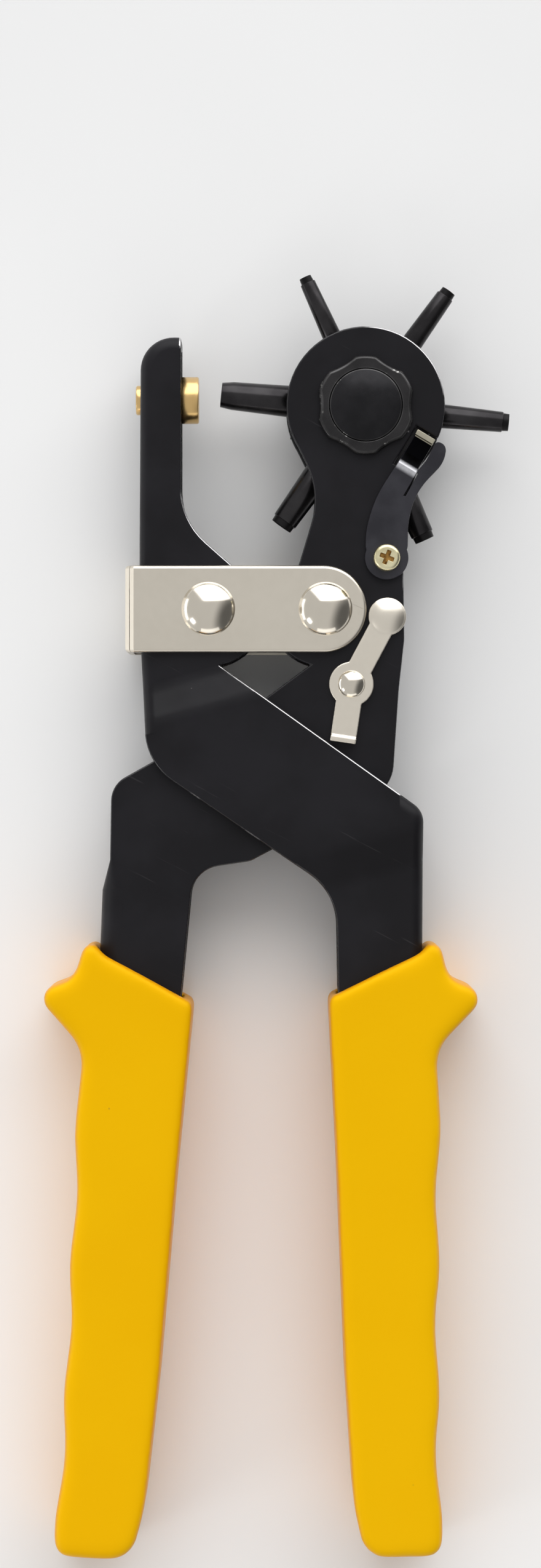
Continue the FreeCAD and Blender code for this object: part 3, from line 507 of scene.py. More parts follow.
@dataclass(frozen=True)
class MouldedPlastic(Finish):
    """Amber yellow moulded plastic, paler in patches, with painted shade, a deeper colour, where it turns
    sideways.
    """

    main: Triple = (0.840, 0.448, 0.0010)
    pale: Triple = (0.890, 0.520, 0.0020)
    tone: Cloud = Cloud(28.0, levels=(0.0, 0.30))
    # deep is painted shade for the sides that turn away from the front and back
    deep: Triple = (0.730, 0.300, 0.0010)
    turned_away_shade_from: Pair = (0.15, 0.85)
    turned_away_shade_share: float = 0.85
    dirt: Triple = (0.640, 0.350, 0.0100)
    dirt_specks: Specks = Specks(150.0, 0.04, 0.05)
    gloss: Cloud = Cloud(260.0, levels=(0.34, 0.44))
    shine: float = 0.24
    shine_tint: Triple = (1.0, 0.72, 0.10)
    skin: Cloud = Cloud(650.0)
    skin_depth: float = 0.018 * MM

    def write(self, graph: Graph) -> None:
        """Write the plastic's nodes.

        Args:
            graph: The material that they go into.
        """
        colour = graph.blend(graph.cloud(self.tone), self.main, self.pale)
        # painted shade: the colour deepens as the surface turns sideways
        level = graph.math("ABSOLUTE", graph.dot(graph.normal, UP))
        colour = graph.blend(graph.ranged(level, *self.turned_away_shade_from, self.turned_away_shade_share, 0.0), colour, self.deep)
        colour = graph.blend(graph.specks(self.dirt_specks), colour, self.dirt)
        graph.relief(graph.noise(self.skin), self.skin_depth)
        graph.fix(Base_Color=colour, Roughness=graph.cloud(self.gloss), Specular_IOR_Level=self.shine,
                  Specular_Tint=(*self.shine_tint, 1.0))


BLACK_PAINT = PaintedSteel("black paint")
# Lever edges: bare steel on the lit sides is a painted highlight, the patches are wear.
WORN_AND_HIGHLIT_EDGE = ShearedEdge("sheared edge")
HUB_STEEL = DarkSteel("blackened hub steel", dark=(0.022, 0.0212, 0.0222), light=(0.035, 0.0338, 0.0350),
                      metal=0.55, gloss=(0.22, 0.32))
CAP_STEEL = DarkSteel("blackened cap steel", dark=(0.010, 0.0098, 0.0112), light=(0.017, 0.0165, 0.0185),
                      gloss=(0.22, 0.32), wear_share=0.03)
RIM_STEEL = DarkSteel("rubbed rim", dark=(0.022, 0.0215, 0.022), light=(0.085, 0.083, 0.084), metal=0.8,
                      gloss=(0.18, 0.28), wear=(0.80, 0.79, 0.76), wear_share=0.85)
TUBE_STEEL = DarkSteel("gunmetal tube steel", dark=(0.026, 0.0245, 0.026), light=(0.044, 0.042, 0.0435),
                       metal=0.85, gloss=(0.18, 0.28), wear_share=0.16)
# Dark steel for the small tubes' end rings, also painted shade inside every bore.
TUBE_END_AND_BORE_SHADE = DarkSteel("dark tube end", dark=(0.008, 0.0075, 0.008), light=(0.016, 0.015, 0.016), metal=0.6)
LEAF_STEEL = LeafSteel("blued leaf steel")
LEAF_END = PlatedSteel("bare leaf end", dark=(0.44, 0.41, 0.32), light=(0.60, 0.57, 0.47))
SPRING_WIRE = DarkSteel("drawn spring wire", dark=(0.06, 0.06, 0.065), light=(0.12, 0.12, 0.125), metal=1.0)
NICKEL_SHEET = PlatedSteel("nickel plated sheet")
NICKEL_LATCH = PlatedSteel("nickel plated latch", dark=(0.800, 0.742, 0.642), light=(0.832, 0.774, 0.674))
NICKEL_HEAD = PlatedSteel("nickel plated rivet", gloss=(0.10, 0.15), grain_stretch=(500.0, 500.0, 500.0),
                          grain_depth=0.001 * MM)
YELLOW_ZINC = PlatedSteel("yellow zinc", dark=(0.58, 0.50, 0.27), light=(0.84, 0.78, 0.52),
                          gloss=(0.24, 0.36), grain_stretch=(600.0, 600.0, 600.0))
ZINC_RECESS = PlatedSteel("zinc in the recess", dark=(0.09, 0.035, 0.010), light=(0.56, 0.32, 0.09),
                          gloss=(0.34, 0.50), grain_stretch=(1500.0, 1500.0, 1500.0), stain=Cloud(900.0))
TURNED_BRASS = PlatedSteel("turned brass", dark=(0.68, 0.45, 0.18), light=(0.78, 0.54, 0.24),
                           gloss=(0.20, 0.27), grain_stretch=(2400.0, 60.0, 60.0), grain_depth=0.002 * MM)
AMBER_PLASTIC = MouldedPlastic("amber grip plastic")


def put_down() -> None:
    """Leave edit mode with nothing selected."""
    if bpy.context.mode != "OBJECT":
        bpy.ops.object.mode_set(mode="OBJECT")
    bpy.ops.object.select_all(action="DESELECT")


def take_up(piece: Piece) -> None:
    """Select one piece alone and make it active.

    Args:
        piece: The piece to work on next.
    """
    put_down()
    piece.select_set(True)
    bpy.context.view_layer.objects.active = piece


def open_mesh(piece: Piece, action: str = "SELECT") -> None:
    """Enter edit mode on one piece.

    Args:
        piece: The piece to edit.
        action: SELECT for all of its mesh, DESELECT for none.
    """
    take_up(piece)
    bpy.ops.object.mode_set(mode="EDIT")
    bpy.ops.mesh.select_all(action=action)


def modify(piece: Piece, kind: str, **settings: object) -> None:
    """Add a modifier to a piece and apply it.

    Args:
        piece: The piece.
        kind: The modifier's type.
        settings: The modifier's properties.
    """
    take_up(piece)
    modifier = piece.modifiers.new(kind.lower(), kind)
    for key, value in settings.items():
        setattr(modifier, key, value)
    bpy.ops.object.modifier_apply(modifier=modifier.name)
    put_down()


def smooth(piece: Piece, keep_flat: bool = True) -> None:
    """Shade a piece smooth where its faces meet under a small angle.

    Args:
        piece: The piece.
        keep_flat: Whether its large faces stay quite flat beside its roundings.
    """
    take_up(piece)
    bpy.ops.object.shade_smooth_by_angle(angle=SMOOTH_ANGLE)
    put_down()
    if keep_flat:
        modify(piece, "WEIGHTED_NORMAL", keep_sharp=True)


def settle(piece: Piece) -> None:
    """Leave a piece's place in its mesh.

    Args:
        piece: The piece, which ends at the origin.
    """
    take_up(piece)
    bpy.ops.object.transform_apply(location=True, rotation=True, scale=True)
    put_down()


def cad_copy(node: str, name: str) -> Piece:
    """A workable copy of a CAD node's mesh.

    Args:
        node: The node to copy.
        name: The new piece's name.

    Returns:
        The copy, merged, with its flat faces whole again.
    """
    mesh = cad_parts[node].data.copy()
    mesh.materials.clear()
    piece = bpy.data.objects.new(name, mesh)
    bpy.context.scene.collection.objects.link(piece)
    take_up(piece)
    bpy.ops.mesh.customdata_custom_splitnormals_clear()
    open_mesh(piece)
    bpy.ops.mesh.remove_doubles(threshold=MERGE_DISTANCE)
    bpy.ops.mesh.dissolve_limited(angle_limit=FLAT_ANGLE)
    put_down()
    return piece


def slots_for(piece: Piece, count: int) -> None:
    """Give a piece so many material slots, empty where they are new."""
    while len(piece.data.materials) < count:
        piece.data.materials.append(None)


def mark(piece: Piece, slot: int, chosen: Choice) -> None:
    """Put some faces of a piece into one of its material slots.

    Args:
        piece: The piece.
        slot: The number of the slot.
        chosen: Picks faces by their middle and their normal.
    """
    slots_for(piece, slot + 1)
    for face in piece.data.polygons:
        if chosen(face.center, face.normal):
            face.material_index = slot


def ease_edges(piece: Piece, width: float, segments: int = 2, slot: int = -1, sharp: float = SHARP_ANGLE,
               chosen: Choice | None = None, end_area: float = 0.0) -> None:
    """Round the sharp edges of a piece.

    Args:
        piece: The piece to work.
        width: Width of the rounding in metres.
        segments: Faces across the rounding.
        slot: Material slot of the rounding, or -1 for its neighbours' own.
        sharp: The least angle of an edge that is rounded.
        chosen: Picks edges by their middle and their direction, or none for all.
        end_area: Curved end faces smaller than this keep their edges.
    """
    mesh = piece.data
    slots_for(piece, slot + 1)
    faces = [tuple(face.vertices) for face in mesh.polygons]
    skin = BVHTree.FromPolygons([vertex.co.copy() for vertex in mesh.vertices], faces)
    weigh_edges(piece, sharp, chosen, end_area)
    modify(piece, "BEVEL", width=width, segments=segments, limit_method="WEIGHT", use_clamp_overlap=False,
           loop_slide=False, material=slot)
    strays = 0
    for vertex in mesh.vertices:
        nearest, _, _, gap = skin.find_nearest(vertex.co)
        if gap > width * STRAY_SHARE:
            vertex.co = nearest
            strays += 1
    log.info("%s: %d vertices drawn back to the surface", piece.name, strays)
    mesh.attributes.remove(mesh.attributes["bevel_weight_edge"])


def weigh_edges(piece: Piece, sharp: float, chosen: Choice | None, end_area: float) -> None:
    """Mark the edges that are to be rounded.

    Args:
        piece: The piece.
        sharp: The least angle between an edge's two faces.
        chosen: Picks edges by their middle and their direction, or none for all.
        end_area: Curved end faces smaller than this keep their edges.
    """
    mesh = piece.data
    sides: dict[tuple[int, int], list[Vector]] = {}
    for face in mesh.polygons:
        if len(face.vertices) > CURVED_SIDES and face.area < end_area:
            continue
        for key in face.edge_keys:
            sides.setdefault(key, []).append(face.normal.copy())
    weights = mesh.attributes.new("bevel_weight_edge", "FLOAT", "EDGE")
    for edge in mesh.edges:
        normals = sides.get(edge.key, [])
        if len(normals) != 2 or normals[0].angle(normals[1], 0.0) < sharp:
            continue
        start, stop = (mesh.vertices[index].co for index in edge.vertices)
        if chosen is None or chosen((start + stop) / 2, stop - start):
            weights.data[edge.index].value = 1.0


def even_skin(piece: Piece, voxel: float, passes: int) -> None:
    """Give a piece an even mesh of faces of one size in metres, and round all its edges softly."""
    modify(piece, "REMESH", mode="VOXEL", voxel_size=voxel)
    ease_skin(piece, passes)


def ease_skin(piece: Piece, passes: int, group: str = "") -> None:
    """Ease an even mesh.

    Args:
        piece: The piece to work.
        passes: How often it is eased.
        group: The vertex group that is eased, or nothing for all.
    """
    modify(piece, "SMOOTH", factor=0.5, iterations=passes, vertex_group=group)
    take_up(piece)
    bpy.ops.object.shade_smooth()
    put_down()


def turned(name: str, profile: Profile, sides: int = 72) -> Piece:
    """A turned piece about the Z axis, made ring by ring.

    Args:
        name: The piece's name.
        profile: Height and radius of each ring, in metres, from the first to the last.
        sides: Faces round the piece.

    Returns:
        The piece, with its ends closed.
    """
    put_down()
    height, radius = profile[0]
    bpy.ops.mesh.primitive_circle_add(vertices=sides, radius=radius, location=(0, 0, height))
    piece = bpy.context.active_object
    piece.name = name
    settle(piece)
    open_mesh(piece)
    for next_height, next_radius in profile[1:]:
        bpy.ops.mesh.extrude_edges_move(TRANSFORM_OT_translate={"value": (0, 0, next_height - height)})
        grow = next_radius / radius
        bpy.ops.transform.resize(value=(grow, grow, 1), center_override=(0, 0, next_height))
        height, radius = next_height, next_radius
    bpy.ops.mesh.edge_face_add()
    bpy.ops.mesh.select_all(action="DESELECT")
    bpy.ops.mesh.select_non_manifold(use_boundary=True)
    bpy.ops.mesh.edge_face_add()
    bpy.ops.mesh.select_all(action="SELECT")
    bpy.ops.mesh.remove_doubles(threshold=MERGE_DISTANCE)
    bpy.ops.mesh.normals_make_consistent(inside=False)
    put_down()
    return piece


def stood(piece: Piece, centre: Vector, way: Vector = UP) -> None:
    """Set a turned piece at its place and shade it smooth.

    Args:
        piece: A piece made about the Z axis.
        centre: Where its own origin goes.
        way: Where its own Z axis points.
    """
    piece.location = centre
    piece.rotation_mode = "QUATERNION"
    piece.rotation_quaternion = UP.rotation_difference(way)
    settle(piece)
    smooth(piece, keep_flat=False)


def corner(height: float, radius: float, ease: float, along: float = CORNER_SHARE,
           across: float = CORNER_SHARE) -> Profile:
    """The rings of a rounded corner, where a turned piece steps out from its axis.

    Args:
        height: Height of the corner.
        radius: Radius of the corner.
        ease: How far the rounding reaches.
        along: How far its middle ring lies up from the corner, as a share of that.
        across: How far its middle ring lies in from the corner, as a share of that.

    Returns:
        The rings.
    """
    return [(height, radius - ease), (height + ease * along, radius - ease * across), (height + ease, radius)]


def dome_profile(radius: float, height: float, base: float) -> Profile:
    """Rings of a spherical cap, from its rim to near its crown.

    Args:
        radius: Radius of the rim.
        height: Height of the cap.
        base: Height of the rim's plane.

    Returns:
        The rings.
    """
    ball = (radius * radius + height * height) / (2 * height)
    span = math.asin(min(1.0, radius / ball))
    rings = []
    for step in range(DOME_RINGS + 1):
        angle = span * (1 - step / (DOME_RINGS + CROWN_GAP))
        rings.append((base + height - ball + ball * math.cos(angle), ball * math.sin(angle)))
    return rings


def dressed(piece: Piece, body: Body, slot: Slot, *finishes: Finish, stands_for: str) -> None:
    """Give a piece its finishes and its place among the bodies.

    Args:
        piece: The finished piece.
        body: The body that it moves with.
        slot: The slot for its finish; not used.
        finishes: Its finishes, in the order of its material slots.
        stands_for: The CAD node that it replaces.
    """
    slots_for(piece, len(finishes))
    for index, finish in enumerate(finishes):
        piece.data.materials[index] = finish.material()
    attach(piece, body.value)
    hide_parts(stands_for)
    log.info("%s: %d faces on %s", piece.name, len(piece.data.polygons), body.value)


def painted(node: str, finish: Finish) -> None:
    """Give a CAD node that keeps its mesh a better finish.

    Args:
        node: The node.
        finish: Its finish.
    """
    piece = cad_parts[node]
    piece.data.materials.clear()
    piece.data.materials.append(finish.material())
    log.info("%s keeps its mesh, in %s", node, finish.name)


@cache
def box_of(node: str) -> tuple[Vector, Vector]:
    """The low and the high corner of a CAD node's box."""
    low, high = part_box(node)
    return low.copy(), high.copy()


def middle(node: str) -> Vector:
    """The middle of a CAD node's box."""
    low, high = box_of(node)
    return (low + high) / 2


@dataclass(frozen=True)
class Tongue:
    """Where the index leaf's tongue lies, from the screw's axis."""

    angle: float = 59.0
    width: float = 4.1 * MM
    ramp: float = 2.2 * MM
    start: Pair = (4.19 * MM, 18.0 * MM)
    window_width: float = 6.6 * MM
    window_ends: Pair = (-3.0 * MM, 11.0 * MM)

    @property
    def way(self) -> Vector:
        """Where the tongue points."""
        turn = math.radians(self.angle)
        return Vector((math.cos(turn), math.sin(turn), 0))

    @property
    def side(self) -> Vector:
        """The way across the tongue."""
        return Vector((-self.way.y, self.way.x, 0))

    @property
    def origin(self) -> Vector:
        """The middle of the tongue's start."""
        return middle("index_screw") + Vector((*self.start, 0))

    def along(self, point: Vector) -> Pair:
        """How far a point lies along the tongue and beside its middle line."""
        place = point - self.origin
        return place.dot(self.way), abs(place.dot(self.side))

    def near_window(self, point: Vector) -> bool:
        """Whether a point lies at the window that the tongue dips into."""
        forward, beside = self.along(point)
        return beside < self.window_width / 2 and self.window_ends[0] < forward < self.window_ends[1]


TONGUE = Tongue()


@dataclass
class Levers:
    """The two pressed levers."""

    edge: float = 0.40 * MM
    segments: int = 4
    end_area: float = 4 * MM * MM

    def build(self) -> None:
        """Build both levers: worn edges, bare with a painted highlight where they face the light, but paint
        on their fronts and at the index window.
        """
        for node, body in (("anvil_lever", Body.ANVIL_ARM), ("wheel_lever", Body.WHEEL_ARM)):
            lever = cad_copy(node, node + "_plate")
            ease_edges(lever, self.edge, self.segments, slot=1, end_area=self.end_area)
            mark(lever, 0, lambda point, normal: normal.z > FLAT_SHARE or TONGUE.near_window(point))
            smooth(lever)
            dressed(lever, body, Slot.BLACK_PAINT, BLACK_PAINT, WORN_AND_HIGHLIT_EDGE, stands_for=node)


@dataclass
class Link:
    """The plated link with its two rivets and the bushes inside."""

    sheet: float = 1.6 * MM
    edge: float = 0.75 * MM
    edge_segments: int = 5
    rim_angle: float = math.radians(50)
    fold: float = 1.7 * MM
    hole_reach: float = 4.0 * MM
    shank: float = 3.0 * MM
    head_rim: float = 0.12 * MM
    leg_end: float = 1.5 * MM
    leg_draw: Triple = (0.35 * MM, -0.20 * MM, 0.0)

    def build(self) -> None:
        """Build the link, its rivets and the pieces that it hides."""
        plate = cad_copy("link_plate", "link_sheet")
        self.flatten_fold(plate)
        ease_edges(plate, self.edge, self.edge_segments, sharp=self.rim_angle, chosen=self.on_outer_rim)
        smooth(plate)
        dressed(plate, Body.LINK, Slot.NICKEL, NICKEL_SHEET, stands_for="link_plate")
        for side in Side:
            self.rivet(side)
            painted("pivot_bush_" + side.value, NICKEL_SHEET)
        self.spring()

    def flatten_fold(self, plate: Piece) -> None:
        """Press the outside of the fold at the link's left flat, as a narrow slanting band.

        Args:
            plate: The link.
        """
        low, high = box_of("link_plate")
        level = (low.z + high.z) / 2
        flat = (high.z - low.z) / 2 - self.fold
        for vertex in plate.data.vertices:
            across = low.x + self.fold - vertex.co.x
            over = abs(vertex.co.z - level) - flat
            if across <= 0 or over <= 0 or across + over <= self.fold:
                continue
            share = self.fold / (across + over)
            vertex.co.x = low.x + self.fold - across * share
            vertex.co.z = level + math.copysign(flat + over * share, vertex.co.z - level)

    def on_outer_rim(self, point: Vector, way: Vector) -> bool:
        """Whether an edge lies on the outer face's rim, away from the rivet holes.

        Args:
            point: The middle of the edge.
            way: The edge's direction; not used.

        Returns:
            True on the rim.
        """
        low, high = box_of("link_plate")
        level = abs(point.z - (low.z + high.z) / 2)
        inside = level < (high.z - low.z) / 2 - self.sheet / 2 and point.x > low.x + self.sheet / 2
        near_hole = any((point - middle("link_rivet_" + side.value)).to_2d().length < self.hole_reach
                        for side in Side)
        return not inside and not near_hole

    def spring(self) -> None:
        """Build the opening spring, its long leg drawn in so that it clears the web when the jaws close."""
        wire = cad_copy("opening_spring", "opening_spring_wound")
        low, _ = box_of("opening_spring")
        open_mesh(wire, "DESELECT")
        put_down()
        for vertex in wire.data.vertices:
            vertex.select = vertex.co.x < low.x + self.leg_end
        take_up(wire)
        bpy.ops.object.mode_set(mode="EDIT")
        bpy.ops.transform.translate(value=self.leg_draw)
        put_down()
        smooth(wire, keep_flat=False)
        dressed(wire, Body.LINK, Slot.SPRING_STEEL, SPRING_WIRE, stands_for="opening_spring")

    def rivet(self, side: Side) -> None:
        """Build one rivet with a dome at each end.

        Args:
            side: Whose pivot it is.
        """
        node = "link_rivet_" + side.value
        low, high = box_of(node)
        surface = box_of("link_plate")[1].z
        reach = (high.x - low.x) / 2
        seat = surface - middle(node).z
        dome = dome_profile(reach, high.z - surface, seat)
        front = [(seat, self.shank), (seat, reach - self.head_rim), *dome]
        rear = [(-height, radius) for height, radius in reversed(front)]
        piece = turned(node + "_domed", rear + front, FINE_SIDES)
        stood(piece, middle(node))
        dressed(piece, Body.LINK, Slot.NICKEL, NICKEL_HEAD, stands_for=node)


@dataclass
class Anvil:
    """The brass anvil: a turned disc, its body through the jaw and the riveted tail."""

    edge: float = 0.35 * MM
    edge_shares: Pair = (1 / 3, 1 / 4)
    body_radius: float = 3.6 * MM
    neck_radius: float = 2.0 * MM
    neck_length: float = 2.1 * MM
    tail_radius: float = 2.95 * MM
    tail_thickness: float = 1.0 * MM
    disc_thickness: float = 3.6 * MM
    sides: int = 80

    def build(self) -> None:
        """Build the anvil about its own axis, then lay it across the jaw."""
        low, high = box_of("anvil")
        radius = (high.z - low.z) / 2
        half = (high.x - low.x) / 2
        seat = half - self.disc_thickness
        web = -half + self.tail_thickness
        neck_end = web + self.neck_length
        more, less = (self.edge * share for share in self.edge_shares)
        profile = [
            *corner(-half, self.tail_radius, self.edge, *self.edge_shares),
            (web, self.tail_radius),
            (web, self.neck_radius),
            (neck_end, self.neck_radius),
            (neck_end, self.body_radius),
            (seat, self.body_radius),
            *corner(seat, radius, self.edge, *self.edge_shares),
            (half - self.edge, radius),
            (half - less, radius - more),
            (half, radius - self.edge),
        ]
        piece = turned("anvil_turned", profile, self.sides)
        stood(piece, middle("anvil"), Vector((1, 0, 0)))
        dressed(piece, Body.ANVIL_ARM, Slot.BRASS, TURNED_BRASS, stands_for="anvil")


@dataclass
class PunchWheel:
    """The wheel with its six tubes, the axle cap and the washers."""

    wheel_edge: float = 0.15 * MM
    first_angle: float = 174.5
    count: int = 6
    sides: int = 56
    shank_start: float = 8.52 * MM
    wheel_radius: float = 14.0 * MM
    tip_reach: float = 29.0 * MM
    smallest_hole: float = 1.0 * MM
    largest_hole: float = 2.25 * MM
    root_wall: float = 0.95 * MM
    neck_wall: float = 0.55 * MM
    edge_wall: float = 0.22 * MM
    bevel: float = 2.1 * MM
    bevel_shares: tuple[Pair, ...] = ((-1.0, 0.05), (0.4, -0.15))
    ring: float = 1.2 * MM
    ring_shares: tuple[Pair, ...] = ((-1.0, 0.0), (-0.3, -0.2), (0.0, -0.7))
    ring_taper: float = 0.08 * MM
    rounding: float = 0.22 * MM
    lip: float = 0.05 * MM
    shoulder_gap: float = 0.1 * MM
    bore_floor: float = 6.48 * MM
    bore_share: float = 0.9
    drill_shares: Pair = (0.5, 0.05)
    axle_radius: float = 4.0 * MM
    cap_dome: float = 1.2 * MM
    cap_rim: float = 0.6 * MM
    cap_wear_share: float = 1.1

    def build(self) -> None:
        """Build the wheel and everything on its axle."""
        wheel = cad_copy("punch_wheel", "punch_wheel_drum")
        ease_edges(wheel, self.wheel_edge)
        smooth(wheel)
        dressed(wheel, Body.TURRET, Slot.BLACK_STEEL, HUB_STEEL, stands_for="punch_wheel")
        for index in range(self.count):
            self.tube(index)
        for node in ("thrust_washer_front", "thrust_washer_rear"):
            painted(node, HUB_STEEL)
        for facing in Facing:
            self.cap(facing)
            self.washer(facing)

    def tube(self, index: int) -> None:
        """Build one punch tube: the largest ends in a long bevel, the others in a thin dark ring.

        Args:
            index: Its number, from 0 for the largest.
        """
        place = (index - 1) % self.count
        hole = self.smallest_hole + (self.largest_hole - self.smallest_hole) * place / (self.count - 1)
        root, neck, tip = hole + self.root_wall, hole + self.neck_wall, hole + self.edge_wall
        shoulder = self.wheel_radius + self.shoulder_gap
        shank = root - self.neck_wall
        bevelled = index == 0
        end = self.tip_reach - (self.bevel if bevelled else self.ring)
        outside = [(self.shank_start, shank), (shoulder, shank), *corner(shoulder, root, self.rounding)]
        for along, across in self.bevel_shares if bevelled else self.ring_shares:
            outside.append((end + self.rounding * along, neck + self.rounding * across))
        if not bevelled:
            outside.append((end, tip + self.ring_taper))
        floor = self.shank_start + self.bore_floor
        deep, narrow = (hole * share for share in self.drill_shares)
        bore = [(self.tip_reach - self.lip, hole), (floor, hole), (floor - deep, narrow)]
        node = "punch_tube_%d" % (index + 1)
        piece = turned(node + "_turned", [*outside, (self.tip_reach, tip), *bore], self.sides)
        # The bore is painted near black, a painted shade inside the hole; the small tubes' end rings get the
        # same dark colour.
        mark(piece, 1, lambda point, normal: point.to_2d().length < hole * self.bore_share
             or not bevelled and point.z > end + MERGE_DISTANCE)
        angle = math.radians(self.first_angle - 360 / self.count * index)
        stood(piece, middle("punch_wheel"), Vector((math.cos(angle), math.sin(angle), 0)))
        dressed(piece, Body.TURRET, Slot.TUBE_STEEL, TUBE_STEEL, TUBE_END_AND_BORE_SHADE, stands_for=node)

    def cap(self, facing: Facing) -> None:
        """Build one end of the axle.

        Args:
            facing: The face that it closes.
        """
        node = {Facing.FRONT: "wheel_axle", Facing.REAR: "axle_cap_rear"}[facing]
        low, high = box_of(node)
        hub = middle("punch_wheel")
        reach = (high.x - low.x) / 2
        crown = max(abs(high.z - hub.z), abs(low.z - hub.z))
        rim = crown - self.cap_dome
        foot = rim - self.cap_rim
        ease, inset = self.rounding, self.rounding * CORNER_SHARE
        profile = [(foot, reach), (rim - ease, reach), (rim - inset, reach - inset),
                   *dome_profile(reach - ease, self.cap_dome, rim)]
        if facing is Facing.FRONT:
            profile = [(-foot, self.axle_radius), (foot, self.axle_radius)] + profile
        piece = turned(node + "_domed", profile, FINE_SIDES)
        worn = reach - ease * self.cap_wear_share
        mark(piece, 1, lambda point, normal: point.to_2d().length > worn and point.z > foot)
        stood(piece, hub, UP * facing.value)
        dressed(piece, Body.WHEEL_ARM, Slot.BLACK_STEEL, CAP_STEEL, RIM_STEEL, stands_for=node)

    def washer(self, facing: Facing) -> None:
        """Build one scalloped washer.

        Args:
            facing: The face that it lies on.
        """
        node = "hub_washer_" + facing.name.lower()
        piece = cad_copy(node, node + "_pressed")
        ease_edges(piece, self.rounding, slot=1)
        smooth(piece)
        dressed(piece, Body.WHEEL_ARM, Slot.BLACK_STEEL, HUB_STEEL, RIM_STEEL, stands_for=node)


@dataclass
class IndexSpring:
    """The leaf that stops the wheel, with its screw."""

    edge: float = 0.16 * MM
    bend: float = 1.2 * MM
    bend_segments: int = 7
    bend_angle: float = math.radians(20)
    bend_slack: float = 0.1
    bend_reach_share: float = 1.2
    lip: float = 1.25 * MM
    lip_share: float = 0.52
    screw_edge: float = 0.10 * MM
    screw_turn: float = math.radians(22)
    recess_depth: float = 0.3 * MM
    recess_reach: float = 1.6 * MM

    def build(self) -> None:
        """Build the leaf, with the turned-up lip at the tongue's end bare, and its screw."""
        leaf = cad_copy("index_spring", "index_leaf_bent")
        ease_edges(leaf, self.bend, self.bend_segments, sharp=self.bend_angle, chosen=self.on_bend)
        ease_edges(leaf, self.edge, chosen=self.off_bend)
        places = [TONGUE.along(vertex.co) for vertex in leaf.data.vertices]
        start = max(forward for forward, beside in places if beside < TONGUE.width / 2) - self.lip
        mark(leaf, 1, lambda point, normal: TONGUE.along(point)[0] > start
             and TONGUE.along(point)[1] < TONGUE.width * self.lip_share)
        smooth(leaf)
        dressed(leaf, Body.INDEX_LEAF, Slot.SPRING_STEEL, LEAF_STEEL, LEAF_END, stands_for="index_spring")
        self.screw()

    def screw(self) -> None:
        """Build the screw, its cross turned as in the photograph."""
        screw = cad_copy("index_screw", "index_screw_cross")
        ease_edges(screw, self.screw_edge)
        centre = middle("index_screw")
        floor = box_of("index_screw")[1].z - self.recess_depth
        mark(screw, 1, lambda point, normal: point.z < floor
             and (point - centre).to_2d().length < self.recess_reach)
        take_up(screw)
        bpy.ops.transform.rotate(value=self.screw_turn, orient_axis="Z", center_override=centre)
        settle(screw)
        smooth(screw)
        dressed(screw, Body.WHEEL_ARM, Slot.YELLOW_ZINC, YELLOW_ZINC, ZINC_RECESS, stands_for="index_screw")

    def on_bend(self, point: Vector, way: Vector) -> bool:
        """Whether an edge is a fold across the tongue's ramp.

        Args:
            point: The middle of the edge.
            way: The edge's direction.

        Returns:
            True on a fold.
        """
        forward, beside = TONGUE.along(point)
        across = way.length > TONGUE.width / 2 and abs(way.normalized().dot(TONGUE.way)) < self.bend_slack
        on_ramp = beside < TONGUE.width / 4 and forward < TONGUE.ramp / 2
        return across and on_ramp and point.z > box_of("index_spring")[1].z - self.bend

    def off_bend(self, point: Vector, way: Vector) -> bool:
        """Whether an edge lies away from the tongue's upper fold."""
        forward, beside = TONGUE.along(point)
        return not (beside < TONGUE.width and abs(forward) < self.bend * self.bend_reach_share)


@dataclass
class Latch:
    """The sheet latch and its rivet."""

    voxel: float = 0.13 * MM
    passes: int = 14
    rivet_dome: float = 1.3 * MM
    shank: float = 1.6 * MM
    tail_radius: float = 2.5 * MM
    tail_thickness: float = 0.7 * MM
    ease: float = 0.2 * MM

    def build(self) -> None:
        """Build the latch and its rivet."""
        sheet = cad_copy("latch", "latch_pressed")
        even_skin(sheet, self.voxel, self.passes)
        dressed(sheet, Body.LATCH_ARM, Slot.NICKEL, NICKEL_LATCH, stands_for="latch")
        low, high = box_of("latch_rivet")
        centre = middle("latch_rivet")
        reach = (high.x - low.x) / 2
        seat = high.z - centre.z - self.rivet_dome
        tail = low.z - centre.z
        neck = tail + self.tail_thickness
        profile = [
            (tail, self.tail_radius - self.ease),
            (tail + self.ease, self.tail_radius),
            (neck, self.tail_radius),
            (neck, self.shank),
            (seat, self.shank),
            (seat, reach - self.ease / 2),
            *dome_profile(reach, self.rivet_dome, seat),
        ]
        rivet = turned("latch_rivet_domed", profile)
        stood(rivet, centre)
        dressed(rivet, Body.WHEEL_ARM, Slot.NICKEL, NICKEL_HEAD, stands_for="latch_rivet")


@dataclass
class Grip:
    """One moulded grip, softened all over and more on the side that the palm holds."""

    side: Side
    voxel: float = 0.6 * MM
    even_passes: int = 8
    palm_passes: int = 26
    palm_depth: float = 20 * MM
    palm_fade: float = 6 * MM

    @property
    def body(self) -> Body:
        """The body that the grip moves with."""
        return Body.WHEEL_ARM if self.side is Side.LEFT else Body.ANVIL_ARM

    def build(self) -> None:
        """Build the grip from its CAD form."""
        node = "grip_" + self.side.value
        piece = cad_copy(node, node + "_moulded")
        even_skin(piece, self.voxel, self.even_passes)
        self.soften(piece)
        dressed(piece, self.body, Slot.GRIP_PLASTIC, AMBER_PLASTIC, stands_for=node)

    def soften(self, piece: Piece) -> None:
        """Round the side that the palm holds.

        Args:
            piece: The grip with an even skin.
        """
        low, high = box_of("grip_" + self.side.value)
        palm = piece.vertex_groups.new(name="palm side")
        for vertex in piece.data.vertices:
            depth = vertex.co.x - low.x if self.side is Side.LEFT else high.x - vertex.co.x
            share = max(0.0, min(1.0, (self.palm_depth - depth) / self.palm_fade))
            if share > 0:
                palm.add([vertex.index], share, "REPLACE")
        ease_skin(piece, self.palm_passes, palm.name)


